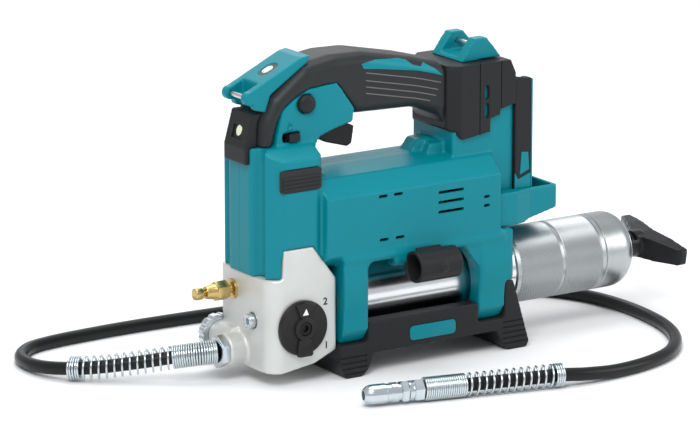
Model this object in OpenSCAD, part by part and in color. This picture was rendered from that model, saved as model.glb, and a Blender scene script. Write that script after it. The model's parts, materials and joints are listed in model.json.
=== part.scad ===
// Cordless grease gun: an 18 V class, handle-on-top gun with a 410 g cartridge barrel.
// +X points to the rear (loading end), -X to the pump head, -Y is the operator's left, +Z up.
// Z = 0 is the floor under the skid, Y = 0 the joint plane of the two housing halves.

/* [Body] */
// Width of the motor section and of the arches
body_w = 85; // [78:1:100]
// Width of the front column and of the pump head
head_w = 76; // [70:1:84]
// Wall of the moulded housing
wall = 3; // [2:0.25:4]
// X of the pump head's front face
head_front = -143; // [-150:1:-140]
// Height of the ridge along the top of the motor section
ridge_z = 155; // [150:1:165]
// Width of the trigger housing and of the handle core's widest stretch
neck_w = 44; // [40:1:50]
// Width of the rear column that carries the battery rails
rear_w = 54; // [48:1:60]

/* [Barrel] */
// Height of the barrel's axis
barrel_z = 53; // [50:1:56]
// Outer radius of the chrome barrel tube
barrel_r = 28; // [26:0.5:29]
// Wall of the barrel tube
barrel_wall = 1.2; // [0.8:0.1:2]
// X of the joint between the barrel and its end cap
barrel_end = 167; // [165:1:210]
// Outer radius of the knurled sleeve
sleeve_r = 29.4; // [29.2:0.1:31]
// Radius of the follower rod
rod_r = 4; // [3:0.5:5]
// Length of the cross handle
tee_l = 80; // [60:5:100]

/* [Drive] */
// Height of the motor and gearbox axis
motor_z = 119; // [116:1:121]
// Outer radius of the motor can
can_r = 24; // [20:1:25]
// Gear module
gear_m = 1; // [0.9:0.05:1]
// Eccentricity of the drive cam
cam_e = 3.6; // [2:0.1:4]
// Radius of the pump plunger
plunger_r = 5; // [4:0.5:6]

/* [Controls] */
// Radius of the speed selector dial
dial_r = 20.7; // [17:0.5:22]
// Radius of the lock-off button
lock_off_r = 7; // [5:0.5:8]
// Width of the trigger
trigger_w = 16; // [12:1:20]

/* [Hose] */
// Outer diameter of the hose
hose_d = 10; // [8:0.5:11]
// Outer radius of the spring guards
guard_r = 9; // [8:0.5:10]
// Inner radius of the coupler holder
holder_r = 9.6; // [8:0.2:10]

/* [Clearances] */
// Radial running fit of pins, plungers and the barrel's spigot
fit = 0.05; // [0.02:0.01:0.1]
// Gap between parts that move past each other
gap = 0.4; // [0.3:0.1:0.8]

/* [Hidden] */
$fn = 64;
teal = [0, 0.47, 0.5];
charcoal = [0.22, 0.22, 0.23];
cast = [0.82, 0.83, 0.83];
steel = [0.66, 0.68, 0.7];
chrome = [0.9, 0.91, 0.92];
brass = [0.78, 0.6, 0.25];
rubber = [0.1, 0.1, 0.1];

half_body = body_w / 2;
half_head = head_w / 2;
half_neck = neck_w / 2;
half_rear = rear_w / 2;

// Pump head: side profile limits
head_back = -86;
head_low = 11;
head_line = 82;
head_top = 104;
spigot_x = -104;

// Front end of the sleeve and the groove between its two knurled bands
sleeve_x = 83;
sleeve_groove = 127;

// Motor section and arches along X
motor_x0 = -97;
motor_x1 = 58;
section_low = 85;
front_arch = [-82, -61];
rear_arch = [38, 69];
arch_foot = 26;
arch_bore = sleeve_r + 1;

// Half the width of the way from the motor section into the column
shaft_way = 26;

// Rear column and battery interface
column_x0 = 24;
column_x1 = 79;
rail_x1 = 94;
column_top = 208;
guard_x1 = 115;
cover_t = 3.2;

// Skid, with a tab that laps the rear edge of the rear arch
tab_x = 62;
tab_z = 54;
skid_top = 41;
skid_mid = 16.5;
rail_t = 12;

// Front face of the column and top of its shoulder
column_front = -146;
shoulder_z = 178;

// Controls
trigger_pivot = [-92, 190];
lock_off = [-102, 207.5];
lock_slide_at = [-113, 184];
lock_travel = 3.5;
dial_at = [-116.5, 44.5];
strap_pin_r = 1.9;
bracket_y = 16.5;
front_pin = [-146, 213];
rear_pin = [54, 231];
bracket_slope = 24.5;
button_at = [-121, 230.6];

// Gearbox
sun_n = 12;
planet_n = 18;
ring_n = sun_n + 2 * planet_n;
gear_x0 = -52;
gear_w = 10;
planet_c = gear_m * (sun_n + planet_n) / 2;
case_r = gear_m * ring_n / 2 + 4;
cam_x = -118;
cam_r = 9;
cam_w = 10;
shaft_r = 2.5;
output_r = 5;
plunger_top = motor_z - cam_r - cam_e - 0.2;

// Outlet: a cross boss along Y with a fluted cap, and the hose boss in front of it
cross_r = 11;
cross_x = -145;
cross_z = 28;
cross_end = 30;
cap_r = 15;
boss_r = 12.5;
outlet_y = 5;
outlet_z = 23;
nut_x = -158;
nut_l = 6;

// Hose: its end in the outlet nut, the points it lies along and its end in the coupler's ferrule
hose_r = hose_d / 2;
coupler_turn = 167;
coupler_from = [42, -144];
coupler_way = [cos(coupler_turn), sin(coupler_turn), 0];
outlet_way = [-1, 0, 0];
hose_points = [
    [-164, 5, 23], [-177, 10, 22], [-192, 20, 19.5], [-212, 34, 15.5], [-236, 51, 11.5],
    [-253, 66, 9.5], [-263, 84, 7.5], [-266, 104, 6], [-261, 126, 5.2], [-245, 143, 5],
    [-222, 150, 5], [-190, 153, 5], [-151, 154, 5], [-100, 152, 5], [-50, 148, 5], [0, 143, 5],
    [50, 134, 5], [100, 119, 5], [145, 97, 5], [178, 68, 5], [196, 34, 5], [202, -4, 5],
    [200, -42, 5], [192, -76, 5], [176, -105, 5], [152, -128, 5], [122, -141, 5], [90, -147, 5.5],
    [62, -147.5, 7.5], [42, -144, 9], [12.8, -137.3, 9], [-26.2, -128.3, 9], [-64.2, -119.5, 9]
];
// How many spans of the route the front guard covers
guard_spans = 5;
coupler_guard_l = 109;

// ---------------------------------------------------------------- helpers

// An XZ outline, drawn out from y0 to y1
module side_slab(points, y0, y1) {
    rotate([90, 0, 0]) translate([0, 0, -y1]) linear_extrude(y1 - y0) polygon(points);
}

// A YZ outline, drawn out from x0 to x1
module long_slab(points, x0, x1) {
    translate([x0, 0, 0]) rotate([90, 0, 90]) linear_extrude(x1 - x0) polygon(points);
}

module cyl_x(x0, x1, y, z, r) {
    translate([x0, y, z]) rotate([0, 90, 0]) cylinder(h = x1 - x0, r = r);
}

module cyl_y(y0, y1, x, z, r) {
    translate([x, y1, z]) rotate([90, 0, 0]) cylinder(h = y1 - y0, r = r);
}

module cyl_z(z0, z1, x, y, r) {
    translate([x, y, z0]) cylinder(h = z1 - z0, r = r);
}

module box(from, to) {
    translate(from) cube(to - from);
}

// A hexagon bar along X, across its flats
module hex_x(x0, x1, y, z, flats) {
    translate([x0, y, z]) rotate([0, 90, 0]) cylinder(h = x1 - x0, r = flats / sqrt(3), $fn = 6);
}

// An outline and its mirror image across the first axis
function mirrored(points) = concat(points, [for (i = [len(points) - 1:-1:0])
    [-points[i][0], points[i][1]]]);

// A plan outline (X, Y) and its mirror image across Y = 0
function both_sides(points) = concat(points, [for (i = [len(points) - 1:-1:0])
    [points[i][0], -points[i][1]]]);

// Everything on one side of the joint plane: side is -1 for the left half
module half_space(side) {
    box([-200, side < 0 ? -100 : 0, -10], [200, side < 0 ? 0 : 100, 260]);
}

// ---------------------------------------------------------------- sweeps

function unit(v) = v / norm(v);

// Catmull-Rom point on the span from p[i] to p[i + 1]
function spline_at(p, i, t) = let (
    a = p[max(i - 1, 0)], b = p[i], c = p[i + 1], d = p[min(i + 2, len(p) - 1)])
    0.5 * (2 * b + (c - a) * t + (2 * a - 5 * b + 4 * c - d) * t * t
        + (3 * b - a - 3 * c + d) * t * t * t);

// The centreline from span i0 to the end of span i1 - 1, with two rings on each span
function spline(p, i0, i1) = concat(
    [for (i = [i0:i1 - 1], t = [0, 0.5]) spline_at(p, i, t)], [p[i1]]);

// Direction of ring i; the first and the last ring face along first and last
function direction(line, i, first, last) =
    i == 0 ? first : i == len(line) - 1 ? last : unit(line[i + 1] - line[i - 1]);

// A round bar along a centreline, as one closed polyhedron
module sweep(line, r, sides, first, last) {
    ring = [for (i = [0:len(line) - 1]) let (
            d = direction(line, i, first, last),
            side = unit(cross(d, [0, 0, 1])),
            up = cross(side, d))
        for (k = [0:sides - 1]) line[i] + r * (side * cos(360 * k / sides) + up * sin(360 * k / sides))];
    n = len(line);
    walls = [for (i = [0:n - 2], k = [0:sides - 1]) let (j = (k + 1) % sides)
        [i * sides + k, i * sides + j, (i + 1) * sides + j, (i + 1) * sides + k]];
    first = [for (k = [sides - 1:-1:0]) k];
    last = [for (k = [0:sides - 1]) (n - 1) * sides + k];
    polyhedron(ring, concat([first], walls, [last]));
}

// ---------------------------------------------------------------- outlines

// Pump head, from the side
head_side = [[head_front, head_low], [head_front, head_line], [-132, head_line],
    [-131, head_top], [-106, head_top], [head_back, 77.5], [head_back, 23], [-105, 15],
    [-132, head_low]];

// Front column in plan: a middle rib, a scallop each side and rounded corners
column_plan = both_sides([[column_front, 15], [-139, 18], [-138, 24], [-142, 28],
    [-137, 33], [-130, half_head], [-103, half_head], [-97, half_head - 3]]);
column_cavity = both_sides([[column_front + wall, 12], [-136, 14], [-135, 24], [-136, 29],
    [-129, half_head - wall], [-103, half_head - wall]]);

// Motor section, across
section = mirrored([[30, section_low], [half_body, 94], [half_body, 138], [30, 151], [6, ridge_z]]);
section_cavity = mirrored([[28.5, section_low + wall], [half_body - wall, 95.5],
    [half_body - wall, 137], [28, 148.5], [5, ridge_z - wall]]);

// Trigger housing, from the side, and the hollow inside it
neck = [[-128, 172], [-127, 184], [-122, 204], [-113, 211], [-99, 218], [-75, 220], [-70, 214],
    [-59.5, 199], [-61, 189], [-77, 185.5], [-90, 181], [-93, 176], [-93, 166], [-86, 150], [-120, 150]];
neck_cavity = [[-124, 168], [-123, 184], [-118.5, 202], [-111, 208], [-98, 214.6], [-77, 216.6],
    [-73, 212.5], [-63, 198.5], [-64, 192], [-78, 188.5], [-93, 183.5], [-97, 177], [-97, 160], [-120, 160]];

// Handle core between the trigger housing and the rear column, and the grip around it
core = [[-76, 216], [-60, 224], [-40, 226], [-5, 220], [26, 212], [26, 192], [0, 198],
    [-38, 202], [-60, 200]];
core_cavity = [[-80, 211], [-62, 219], [-40, 222], [-5, 216], [30, 208], [30, 198], [0, 202],
    [-38, 206], [-70, 204]];
// Stations along the grip: X and Z of its outer edge, then of its inner edge
grip_stations = [
    [[-140, shoulder_z], [-128, shoulder_z]], [[-139, 196], [-122, 196]], [[-130, 214], [-112, 206]],
    [[-102, 236], [-94, 212]], [[-76, 240], [-70, 208]], [[-51, 239.5], [-56, 193]],
    [[-5, 230], [-5, 191.5]], [[column_x0 - cover_t, 223], [column_x0 - cover_t, 182]]];
// The grip's rounded edges: how far in from the edge, and how much narrower
grip_round = [[0, 9], [2.5, 3], [7, 0]];

// Rear column and its hollow
column_side = [[column_x0, 140], [column_x0, 218], [column_x1 - 6, 218], [column_x1, column_top],
    [column_x1, 96], [60, 96], [50, 120]];
rear_cavity = [[column_x0 + wall, 144], [column_x0 + wall, 215], [column_x1 - 8, 215],
    [column_x1 - wall, 206], [column_x1 - wall, 100], [62, 100], [52, 122]];

// Cover over the rear column
cover_side = [[column_x0 - cover_t, 173], [31, 164.6], [56, 168], [56, 178], [65, 180], [65, 184],
    [column_x1, 187], [column_x1, column_top + cover_t], [column_x1 - 4.5, 218 + cover_t],
    [column_x0 - cover_t, 218 + cover_t]];

// ---------------------------------------------------------------- housing

module arch(x0, x1) {
    outline = mirrored([[22, arch_foot], [36, arch_foot], [half_body, 36], [half_body, 94], [24, 94]]);
    difference() {
        long_slab(outline, x0, x1);
        cyl_x(x0 - 1, x1 + 1, 0, barrel_z, arch_bore);
        box([tab_x, -half_body - 1, arch_foot - 1], [x1 + 1 + tab_x, half_body + 1, tab_z]);
    }
}

// Room in front of and below the housing that belongs to the pump head
head_room = [[-200, 0], [-200, head_line], [-132, head_line], [-131, head_top], [-106, head_top],
    [head_back, 77.5], [head_back, 0]];

module housing_outer() {
    difference() {
        translate([0, 0, head_line - 5]) linear_extrude(shoulder_z - 8 - head_line + 5)
            polygon(column_plan);
        side_slab(head_room, -half_body - 1, half_body + 1);
    }
    intersection() {
        translate([0, 0, 150]) linear_extrude(shoulder_z - 150) polygon(column_plan);
        long_slab(mirrored([[half_head, 150], [half_head, shoulder_z - 8], [half_neck + 3, shoulder_z]]),
            -150, -95);
    }
    side_slab(neck, -half_neck, half_neck);
    difference() {
        long_slab(section, motor_x0, motor_x1);
        side_slab(head_room, -half_body - 1, half_body + 1);
    }
    arch(front_arch[0], front_arch[1]);
    arch(rear_arch[0], rear_arch[1]);
    side_slab(core, -16, 16);
    side_slab(column_side, -half_rear, half_rear);
    motor_hump();
}

// Raised hump in front of the rear column
module motor_hump() {
    side_slab([[6, 150], [12, 162], [30, 162], [30, 150]], -16, 16);
}

module housing_hollow() {
    difference() {
        translate([0, 0, 60]) linear_extrude(shoulder_z - wall - 10 - 60) polygon(column_cavity);
        side_slab(head_room, -60, 60);
    }
    side_slab(neck_cavity, wall - half_neck, half_neck - wall);
    long_slab(section_cavity, motor_x0 + wall, motor_x1 - wall);
    // Way through for the output shaft and the wires
    box([-104, -shaft_way, 106], [motor_x0 + wall + 1, shaft_way, 146]);
    side_slab(core_cavity, -13, 13);
    side_slab(rear_cavity, wall - half_rear, half_rear - wall);
}

// A slot through both side walls of the motor section
module vent(x0, x1, z) {
    box([x0, -half_body - 1, z - 1.2], [x1, half_body + 1, z + 1.2]);
}

module housing_openings() {
    for (x = [-52, -38.5]) vent(x, x + 8, 135);
    for (x = [-51, -37]) vent(x, x + 8, 102);
    for (z = [116, 123.5, 131]) vent(1, 24, z);
    for (z = [115.5, 122.3]) vent(42, 47.5, z);
    // Through the underside of the trigger housing
    box([-88, -trigger_w / 2 - gap, 176], [-58, trigger_w / 2 + gap, 199]);
    // Pivot pin, lock-off button and lock slide
    cyl_y(-60, 60, trigger_pivot[0], trigger_pivot[1], 2 + fit);
    cyl_y(-60, 60, lock_off[0], lock_off[1], lock_off_r + fit);
    box([lock_slide_at[0] - 5 - lock_travel - gap, -half_neck - 9, lock_slide_at[1] - 3.4],
        [lock_slide_at[0] + 5 + gap, 0, lock_slide_at[1] + 3.4]);
    // Battery terminals reach in through the rear wall
    box([column_x1 - wall - 1, -14, 138], [column_x1 + 1, 14, 176]);
}

// Bosses that carry the trigger's pin inside the trigger housing
module pin_bosses() {
    for (side = [-1, 1]) difference() {
        cyl_y(side < 0 ? -half_neck + 1 : trigger_w / 2 + 1, side < 0 ? -trigger_w / 2 - 1 : half_neck - 1,
            trigger_pivot[0], trigger_pivot[1], 4.5);
        cyl_y(-60, 60, trigger_pivot[0], trigger_pivot[1], 2 + fit);
    }
}

// Ribs that cradle the motor can and the gearbox between the housing walls
module motor_ribs() {
    for (x = [-66, -6]) difference() {
        long_slab(section_cavity, x, x + 3);
        cyl_x(x - 1, x + 4, 0, motor_z, (x < -40 ? case_r : can_r) + fit);
    }
}

module housing_half(side) {
    intersection() {
        union() {
            difference() {
                housing_outer();
                housing_hollow();
                housing_openings();
            }
            pin_bosses();
            motor_ribs();
        }
        half_space(side);
    }
}

module housing_left() {
    color(teal) housing_half(-1);
}

module housing_right() {
    color(teal) housing_half(1);
}

// Cross-head screws that draw the halves together, in blind seats of the right half
module housing_screws() {
    color(steel) for (p = [[-118, half_head, 138], [-62, half_body, 112], [32, half_body, 104],
            [70, half_rear, 150]]) difference() {
        cyl_y(p[1], p[1] + 1.6, p[0], p[2], 3.5);
        for (turn = [0, 90]) translate([p[0], p[1] + 2, p[2]]) rotate([0, turn, 0])
            cube([4, 2.4, 1], center = true);
    }
}

// ---------------------------------------------------------------- grip and covers

// Corner points of the grip's cross-section at a station
function grip_slice(station) = let (inward = unit(station[1] - station[0]))
    [for (round = grip_round, side = [-1, 1], edge = [0, 1])
        let (p = station[edge] + (edge == 0 ? 1 : -1) * round[0] * inward)
        [p[0], side * (half_neck - round[1]), p[1]]];

module handle_grip() {
    color(charcoal) difference() {
        for (i = [0:len(grip_stations) - 2]) hull()
            for (station = [grip_stations[i], grip_stations[i + 1]], p = grip_slice(station))
                translate(p) cube(0.02, center = true);
        side_slab(neck, -half_neck - 1, half_neck + 1);
        side_slab(core, -16, 16);
        translate([0, 0, 100]) linear_extrude(shoulder_z - 100) polygon(column_plan);
        bracket_shape(0);
    }
}

// Where the nose panel meets the grip
nose_back = [[-135.8, 203], [-139, 196], [-140, shoulder_z]];

module nose_panel() {
    color(charcoal) difference() {
        side_slab(concat([[-150, 166], [-150, shoulder_z], [-143, 203]], nose_back,
            [[column_front, shoulder_z], [column_front, 166]]), -15, 15);
        translate([-150, 0, 188]) rotate([0, 74, 0]) cylinder(h = 30, r = 3.5 + fit);
    }
}

// Clear lens of the work light
module led_lens() {
    color([0.95, 0.95, 0.8]) intersection() {
        translate([-150, 0, 188]) rotate([0, 74, 0]) cylinder(h = 30, r = 3.5);
        side_slab(concat([[-149, shoulder_z], [-142, 203]], [for (p = nose_back) p - [gap, 0]]), -6, 6);
    }
}

// Front strap bracket with its slot; grow widens the outline for parts that meet it
module bracket_shape(grow) {
    points = [[-133, 203.5], [-129, 216], [-97, 236.5], [-95, 242], [-102, 240.8], [-147, 219.5], [-142, 206]];
    side_slab(points, -bracket_y - grow, bracket_y + grow);
    cyl_y(-bracket_y - grow, bracket_y + grow, front_pin[0], front_pin[1] + 2, 5);
}

module front_strap_bracket() {
    color(teal) difference() {
        bracket_shape(0);
        box([-160, -10, 200], [front_pin[0] + 10, 10, 230]);
        cyl_y(2 - bracket_y, bracket_y - 2, front_pin[0], front_pin[1] + 2, strap_pin_r + fit);
        translate([button_at[0], 0, button_at[1]]) rotate([0, -bracket_slope, 0])
            translate([0, 0, -2.5]) linear_extrude(10) round_slot(16, 11);
    }
}

// A round-ended slot, l long and w wide
module round_slot(l, w) {
    square([l - w, w], center = true);
    for (x = [-1, 1]) translate([x * (l - w) / 2, 0]) circle(d = w);
}

module front_strap_pin() {
    color(steel) cyl_y(2 - bracket_y, bracket_y - 2, front_pin[0], front_pin[1] + 2, strap_pin_r);
}

module power_bezel() {
    color([0.45, 0.45, 0.46]) translate([button_at[0], 0, button_at[1]])
        rotate([0, -bracket_slope, 0]) difference() {
            translate([0, 0, -2.5]) linear_extrude(3) round_slot(16 - 0.02, 11 - 0.02);
            translate([0, 0, -1]) linear_extrude(4) round_slot(9.4, 6.4);
        }
}

module power_button() {
    color("white") translate([button_at[0], 0, button_at[1]]) rotate([0, -bracket_slope, 0])
        translate([0, 0, 0.2]) linear_extrude(1) round_slot(9, 6);
}

// Rear strap bracket: a raised block with a slot under its pin
module rear_strap_bracket() {
    color(teal) difference() {
        side_slab([[36, 218 + cover_t], [44, 232], [49, 238], [59, 238], [66, 230], [72, 219 + cover_t]],
            -20, 20);
        box([30, -11, 224], [80, 11, 245]);
        cyl_y(-18, 18, rear_pin[0], rear_pin[1], strap_pin_r + fit);
        side_slab(cover_side, -60, 60);
    }
}

module rear_strap_pin() {
    color(steel) cyl_y(-18, 18, rear_pin[0], rear_pin[1], strap_pin_r);
}

// Pads on both flanks of the column
module side_pads() {
    color(charcoal) for (side = [-1, 1]) scale([1, side, 1]) {
        box([-134, half_head, 148.5], [-102, half_head + 1, 164.5]);
        for (i = [0:3]) box([-133, half_head + 1, 149 + 2.6 * i], [-103, half_head + 1.8, 150.4 + 2.6 * i]);
    }
}

module rear_cover() {
    color(charcoal) difference() {
        intersection() {
            side_slab(cover_side, -half_rear - cover_t, half_rear + cover_t);
            translate([0, 0, 150]) linear_extrude(90) polygon(both_sides(
                [[column_x0 - cover_t, half_rear - 5], [30, half_rear + cover_t],
                    [column_x1, half_rear + cover_t]]));
        }
        side_slab([[column_x0, 100], [column_x0, 218], [column_x1 - 6, 218], [column_x1, column_top],
            [column_x1 + 1, column_top], [column_x1 + 1, 100]], -half_rear, half_rear);
        // The handle's core passes in through the front wall
        box([10, -16, 192], [column_x0 + 1, 16, 214]);
        for (side = [-1, 1], z = [184.6, 198.2]) translate([53, side * (half_rear + cover_t), z])
            cube([3, 2 * cover_t + 1, 11.6], center = true);
    }
}

// ---------------------------------------------------------------- battery interface

module battery_block() {
    color(charcoal) difference() {
        side_slab([[column_x1, 109], [column_x1, 207], [rail_x1, 205], [rail_x1, 109]], -30, 30);
        // Slot for the pack's T-shaped rail: a wide pocket behind a narrower mouth
        box([column_x1 + 4, -26, 122], [column_x1 + 10, 26, 208]);
        box([column_x1 + 4, -22, 122], [rail_x1 + 1, 22, 208]);
        box([column_x1 - 1, -14, 138], [column_x1 + 5, 14, 176]);
    }
}

module battery_terminals() {
    color(brass) {
        for (y = [-10, 10]) box([column_x1 + 2, y - 0.5, 140], [rail_x1 - 4, y + 0.5, 158]);
        box([column_x1 + 2, -0.5, 140], [rail_x1 - 4, 0.5, 152]);
        box([column_x1, -14, 138], [column_x1 + 2, 14, 176]);
    }
}

// Tray that shields the foot of the pack
module battery_guard() {
    outer = both_sides([[motor_x1, half_body - 4.5], [76, half_body - 4.5], [90, 34], [guard_x1, 34]]);
    inner = both_sides([[column_x1, 31], [guard_x1 - wall, 31]]);
    color(teal) difference() {
        translate([0, 0, 95]) linear_extrude(26) polygon(outer);
        translate([0, 0, 104]) linear_extrude(30) polygon(inner);
        side_slab([[85, 90], [85, 96], [guard_x1 + 1, 103], [guard_x1 + 1, 90]], -60, 60);
        side_slab([[40, 90], [motor_x1, 90], [60, 96], [column_x1, 96], [column_x1, 130], [40, 130]],
            -half_rear, half_rear);
        cyl_x(50, 140, 0, barrel_z, sleeve_r + 2);
    }
}

// ---------------------------------------------------------------- skid

skid_side = [[head_back + 0.3, arch_foot], [head_back + 0.3, 13], [-80, 0], [-66, 0], [-60, 5],
    [-55, skid_mid], [55, skid_mid], [60, 5], [66, 0], [82, 0], [85, 4], [70, tab_z], [tab_x, tab_z],
    [tab_x, arch_foot], [rear_arch[0], arch_foot], [rear_arch[0], skid_top],
    [front_arch[1], skid_top], [front_arch[1], arch_foot]];

module base_skid() {
    color(charcoal) difference() {
        side_slab(skid_side, -half_body, half_body);
        // Trough for the barrel
        cyl_x(-100, 100, 0, barrel_z, arch_bore);
        box([-61, rail_t - half_body, skid_mid + 4], [38, half_body - rail_t, 60]);
        for (side = [-1, 1]) insert_pocket(side);
        for (x = [-71, 74]) cyl_z(-1, 7, x, 0, 4.5);
    }
}

module insert_pocket(side) {
    translate([0, side * half_body, 0]) box([-24, -1.5, 21], [17, 1.5, 32]);
}

module skid_inserts() {
    color(teal) for (side = [-1, 1]) intersection() {
        insert_pocket(side);
        box([-30, -half_body - 0.3, 0], [30, half_body + 0.3, 60]);
    }
}

// ---------------------------------------------------------------- pump head

module pump_head() {
    color(cast) difference() {
        union() {
            intersection() {
                side_slab(head_side, -half_head, half_head);
                head_plan();
            }
            cyl_y(outlet_y, cross_end, cross_x, cross_z, cross_r);
            cyl_x(nut_x, head_front + 2, outlet_y, outlet_z, boss_r);
        }
        // Barrel spigot, plunger bore with its spring pocket, and the passages between them
        cyl_x(spigot_x, head_back + 1, 0, barrel_z, barrel_r + fit);
        cyl_z(62, head_top + 1, cam_x, 0, plunger_r + fit);
        cyl_z(84, head_top + 1, cam_x, 0, 11);
        cyl_x(cam_x, spigot_x + 1, 0, 66, 3.5);
        cyl_z(cross_z, 63, cam_x, outlet_y, 2.5);
        cyl_x(cross_x, cam_x, outlet_y, cross_z, 2.5);
        cyl_y(outlet_y, cross_end + 1, cross_x, cross_z, 4 + fit);
        cyl_y(cross_end, half_head + 1, cross_x, cross_z, cap_r + gap);
        cyl_x(nut_x - 1, cross_x, outlet_y, outlet_z, 5 + fit);
        // Dial spindle, bleeder and bolt seats
        cyl_y(-half_head - 1, -half_head + 8, dial_at[0], dial_at[1], 6 + fit);
        cyl_x(head_front - 1, head_front + 9, 15, 66, 3 + fit);
        for (p = bolt_seats) cyl_x(head_front - 1, head_front + 4, p[0], p[1], 6);
    }
}

bolt_seats = [[-12, 47.6]];

module head_plan() {
    r = 12;
    translate([0, 0, -1]) linear_extrude(120) union() {
        translate([head_front, r - half_head]) square([80, head_w - 2 * r]);
        translate([head_front + r, -half_head]) square([80, head_w]);
        for (side = [-1, 1]) translate([head_front + r, side * (half_head - r)]) circle(r);
    }
}

// Fluted cap on the end of the cross boss
module outlet_cap() {
    color(steel) difference() {
        union() {
            cyl_y(cross_end, cross_end + 7, cross_x, cross_z, cap_r);
            cyl_y(cross_end - 5, cross_end, cross_x, cross_z, 4);
        }
        for (i = [0:11]) translate([cross_x, 0, cross_z]) rotate([0, 30 * i, 0])
            cyl_y(cross_end - 1, cross_end + 8, 0, cap_r + 1, 2);
    }
}

module socket_bolt(x, y, z) {
    difference() {
        cyl_x(x - 4.5, x + 4, y, z, 5.4);
        hex_x(x - 5, x - 1, y, z, 5);
    }
}

module head_bolts() {
    color(steel) for (p = bolt_seats) socket_bolt(head_front, p[0], p[1]);
}

module barrel_seal() {
    color(rubber) difference() {
        cyl_x(spigot_x, spigot_x + 2, 0, barrel_z, barrel_r);
        cyl_x(spigot_x - 1, spigot_x + 3, 0, barrel_z, barrel_r - 4);
    }
}

// Brass bleeder valve: a fixed body and a stem that is pressed in
module bleeder_body() {
    x = head_front;
    color(brass) difference() {
        union() {
            cyl_x(x - 2, x, 15, 66, 7.5);
            cyl_x(x - 6, x + 8, 15, 66, 3);
            hex_x(x - 16, x - 6, 15, 66, 13);
            translate([x - 24, 15, 66]) rotate([0, 90, 0]) cylinder(h = 8, r1 = 4.6, r2 = 6);
        }
        cyl_x(x - 25, x - 8, 15, 66, 2.5 + fit);
    }
}

module bleeder_stem() {
    x = head_front;
    color(brass) {
        cyl_x(x - 29, x - 12, 15, 66, 2.5);
        cyl_x(x - 33, x - 27, 15, 66, 4.4);
    }
}

module outlet_nut() {
    color(steel) difference() {
        union() {
            hex_x(nut_x - nut_l, nut_x, outlet_y, outlet_z, 22);
            cyl_x(nut_x, nut_x + 7, outlet_y, outlet_z, 5);
        }
        cyl_x(nut_x - nut_l - 1, nut_x + 8, outlet_y, outlet_z, 2.5);
    }
}

// ---------------------------------------------------------------- selector dial

module selector_dial() {
    y = -half_head;
    color(charcoal) difference() {
        union() {
            cyl_y(y - 3.6, y - 0.1, dial_at[0], dial_at[1], dial_r);
            translate([dial_at[0], 0, dial_at[1]]) rotate([0, -68, 0])
                translate([1 - dial_r, y - 5.6, -4.5]) cube([2 * dial_r - 2, 3, 9]);
            cyl_y(y - 6, y - 0.1, dial_at[0], dial_at[1], 8.6);
            cyl_y(y - 0.2, y + 7, dial_at[0], dial_at[1], 6);
        }
        cyl_y(y - 7, y + 2, dial_at[0], dial_at[1], 5 + fit);
    }
}

module dial_screw() {
    y = -half_head;
    color([0.12, 0.12, 0.13]) difference() {
        cyl_y(y - 5.5, y + 2, dial_at[0], dial_at[1], 5);
        translate([dial_at[0], y - 2.5, dial_at[1]]) rotate([90, 0, 0])
            cylinder(h = 4, r = 2.5 / cos(30), $fn = 6);
    }
}

// ---------------------------------------------------------------- coupler holder

holder_at = [-half_body - 10, 80.3];
holder_x = [-28, 9];

module coupler_holder() {
    r = holder_r + 2.4;
    color(charcoal) {
        difference() {
            union() {
                cyl_x(holder_x[0], holder_x[1], holder_at[0], holder_at[1], r);
                box([-20, -half_body - 3, holder_at[1]], [2, -34, 92]);
            }
            cyl_x(holder_x[0] - 1, holder_x[1] - 4, holder_at[0], holder_at[1], holder_r);
            long_slab([[-half_body, 94], [-30, section_low], [-20, section_low], [-20, 100],
                [-half_body, 100]], -30, 10);
        }
        cyl_y(holder_at[0] - r - 1, holder_at[0] - r + 1.6, -8, holder_at[1], 3.4);
    }
}

// ---------------------------------------------------------------- controls

module trigger() {
    color(charcoal) difference() {
        union() {
            cyl_y(-trigger_w / 2, trigger_w / 2, trigger_pivot[0], trigger_pivot[1], 4.5);
            side_slab([[-91, 186.2], [-87.4, 186], [-87.4, 180], [-76, 172.5], [-57, 167], [-53, 169],
                [-51, 182], [-54, 183.5], [-62, 186], [-66, 192], [-90, 194]],
                -trigger_w / 2, trigger_w / 2);
        }
        cyl_y(-60, 60, trigger_pivot[0], trigger_pivot[1], 2 + fit);
        // Finger hollow along the underside
        translate([-78, 0, 157]) rotate([0, 14, 0]) cyl_y(-30, 30, 0, 0, 15);
    }
}

module trigger_pin() {
    color(steel) cyl_y(1 - half_neck, half_neck - 1, trigger_pivot[0], trigger_pivot[1], 2);
}

module lock_off_button() {
    color(charcoal) difference() {
        cyl_y(-half_neck - 4, half_neck, lock_off[0], lock_off[1], lock_off_r);
        box([lock_off[0] - 4, -10, lock_off[1] - 9], [lock_off[0] + 9, 10, lock_off[1] - 2]);
    }
}

module lock_slide() {
    x = lock_slide_at[0];
    z = lock_slide_at[1];
    color([0.12, 0.12, 0.13]) {
        box([x - 4.5, -half_neck - 2, z - 3], [x + 4.5, wall - half_neck + 0.1, z + 3]);
        box([x - 4.9, wall - half_neck + 0.1, z - 4], [x + 8, wall - half_neck + 2, z + 4]);
    }
}

// Switch body above the trigger, with the plunger that the trigger presses
module trigger_switch() {
    color([0.15, 0.15, 0.16]) {
        box([-93.5, -9, 202], [-76, 9, 213]);
        cyl_z(196.2, 202, -80, 0, 2.5);
        // Ears that lie against the housing walls
        box([-90, wall + 0.3 - half_neck, 206], [-80, half_neck - wall - 0.3, 210]);
    }
}

module controller_board() {
    color([0.1, 0.35, 0.2]) {
        box([60, wall + 0.3 - half_rear, 120], [62, half_rear - wall - 0.3, 196]);
        for (z = [132, 152, 172]) box([62, -14, z], [70, 14, z + 12]);
    }
}

// ---------------------------------------------------------------- motor and gearbox

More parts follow.
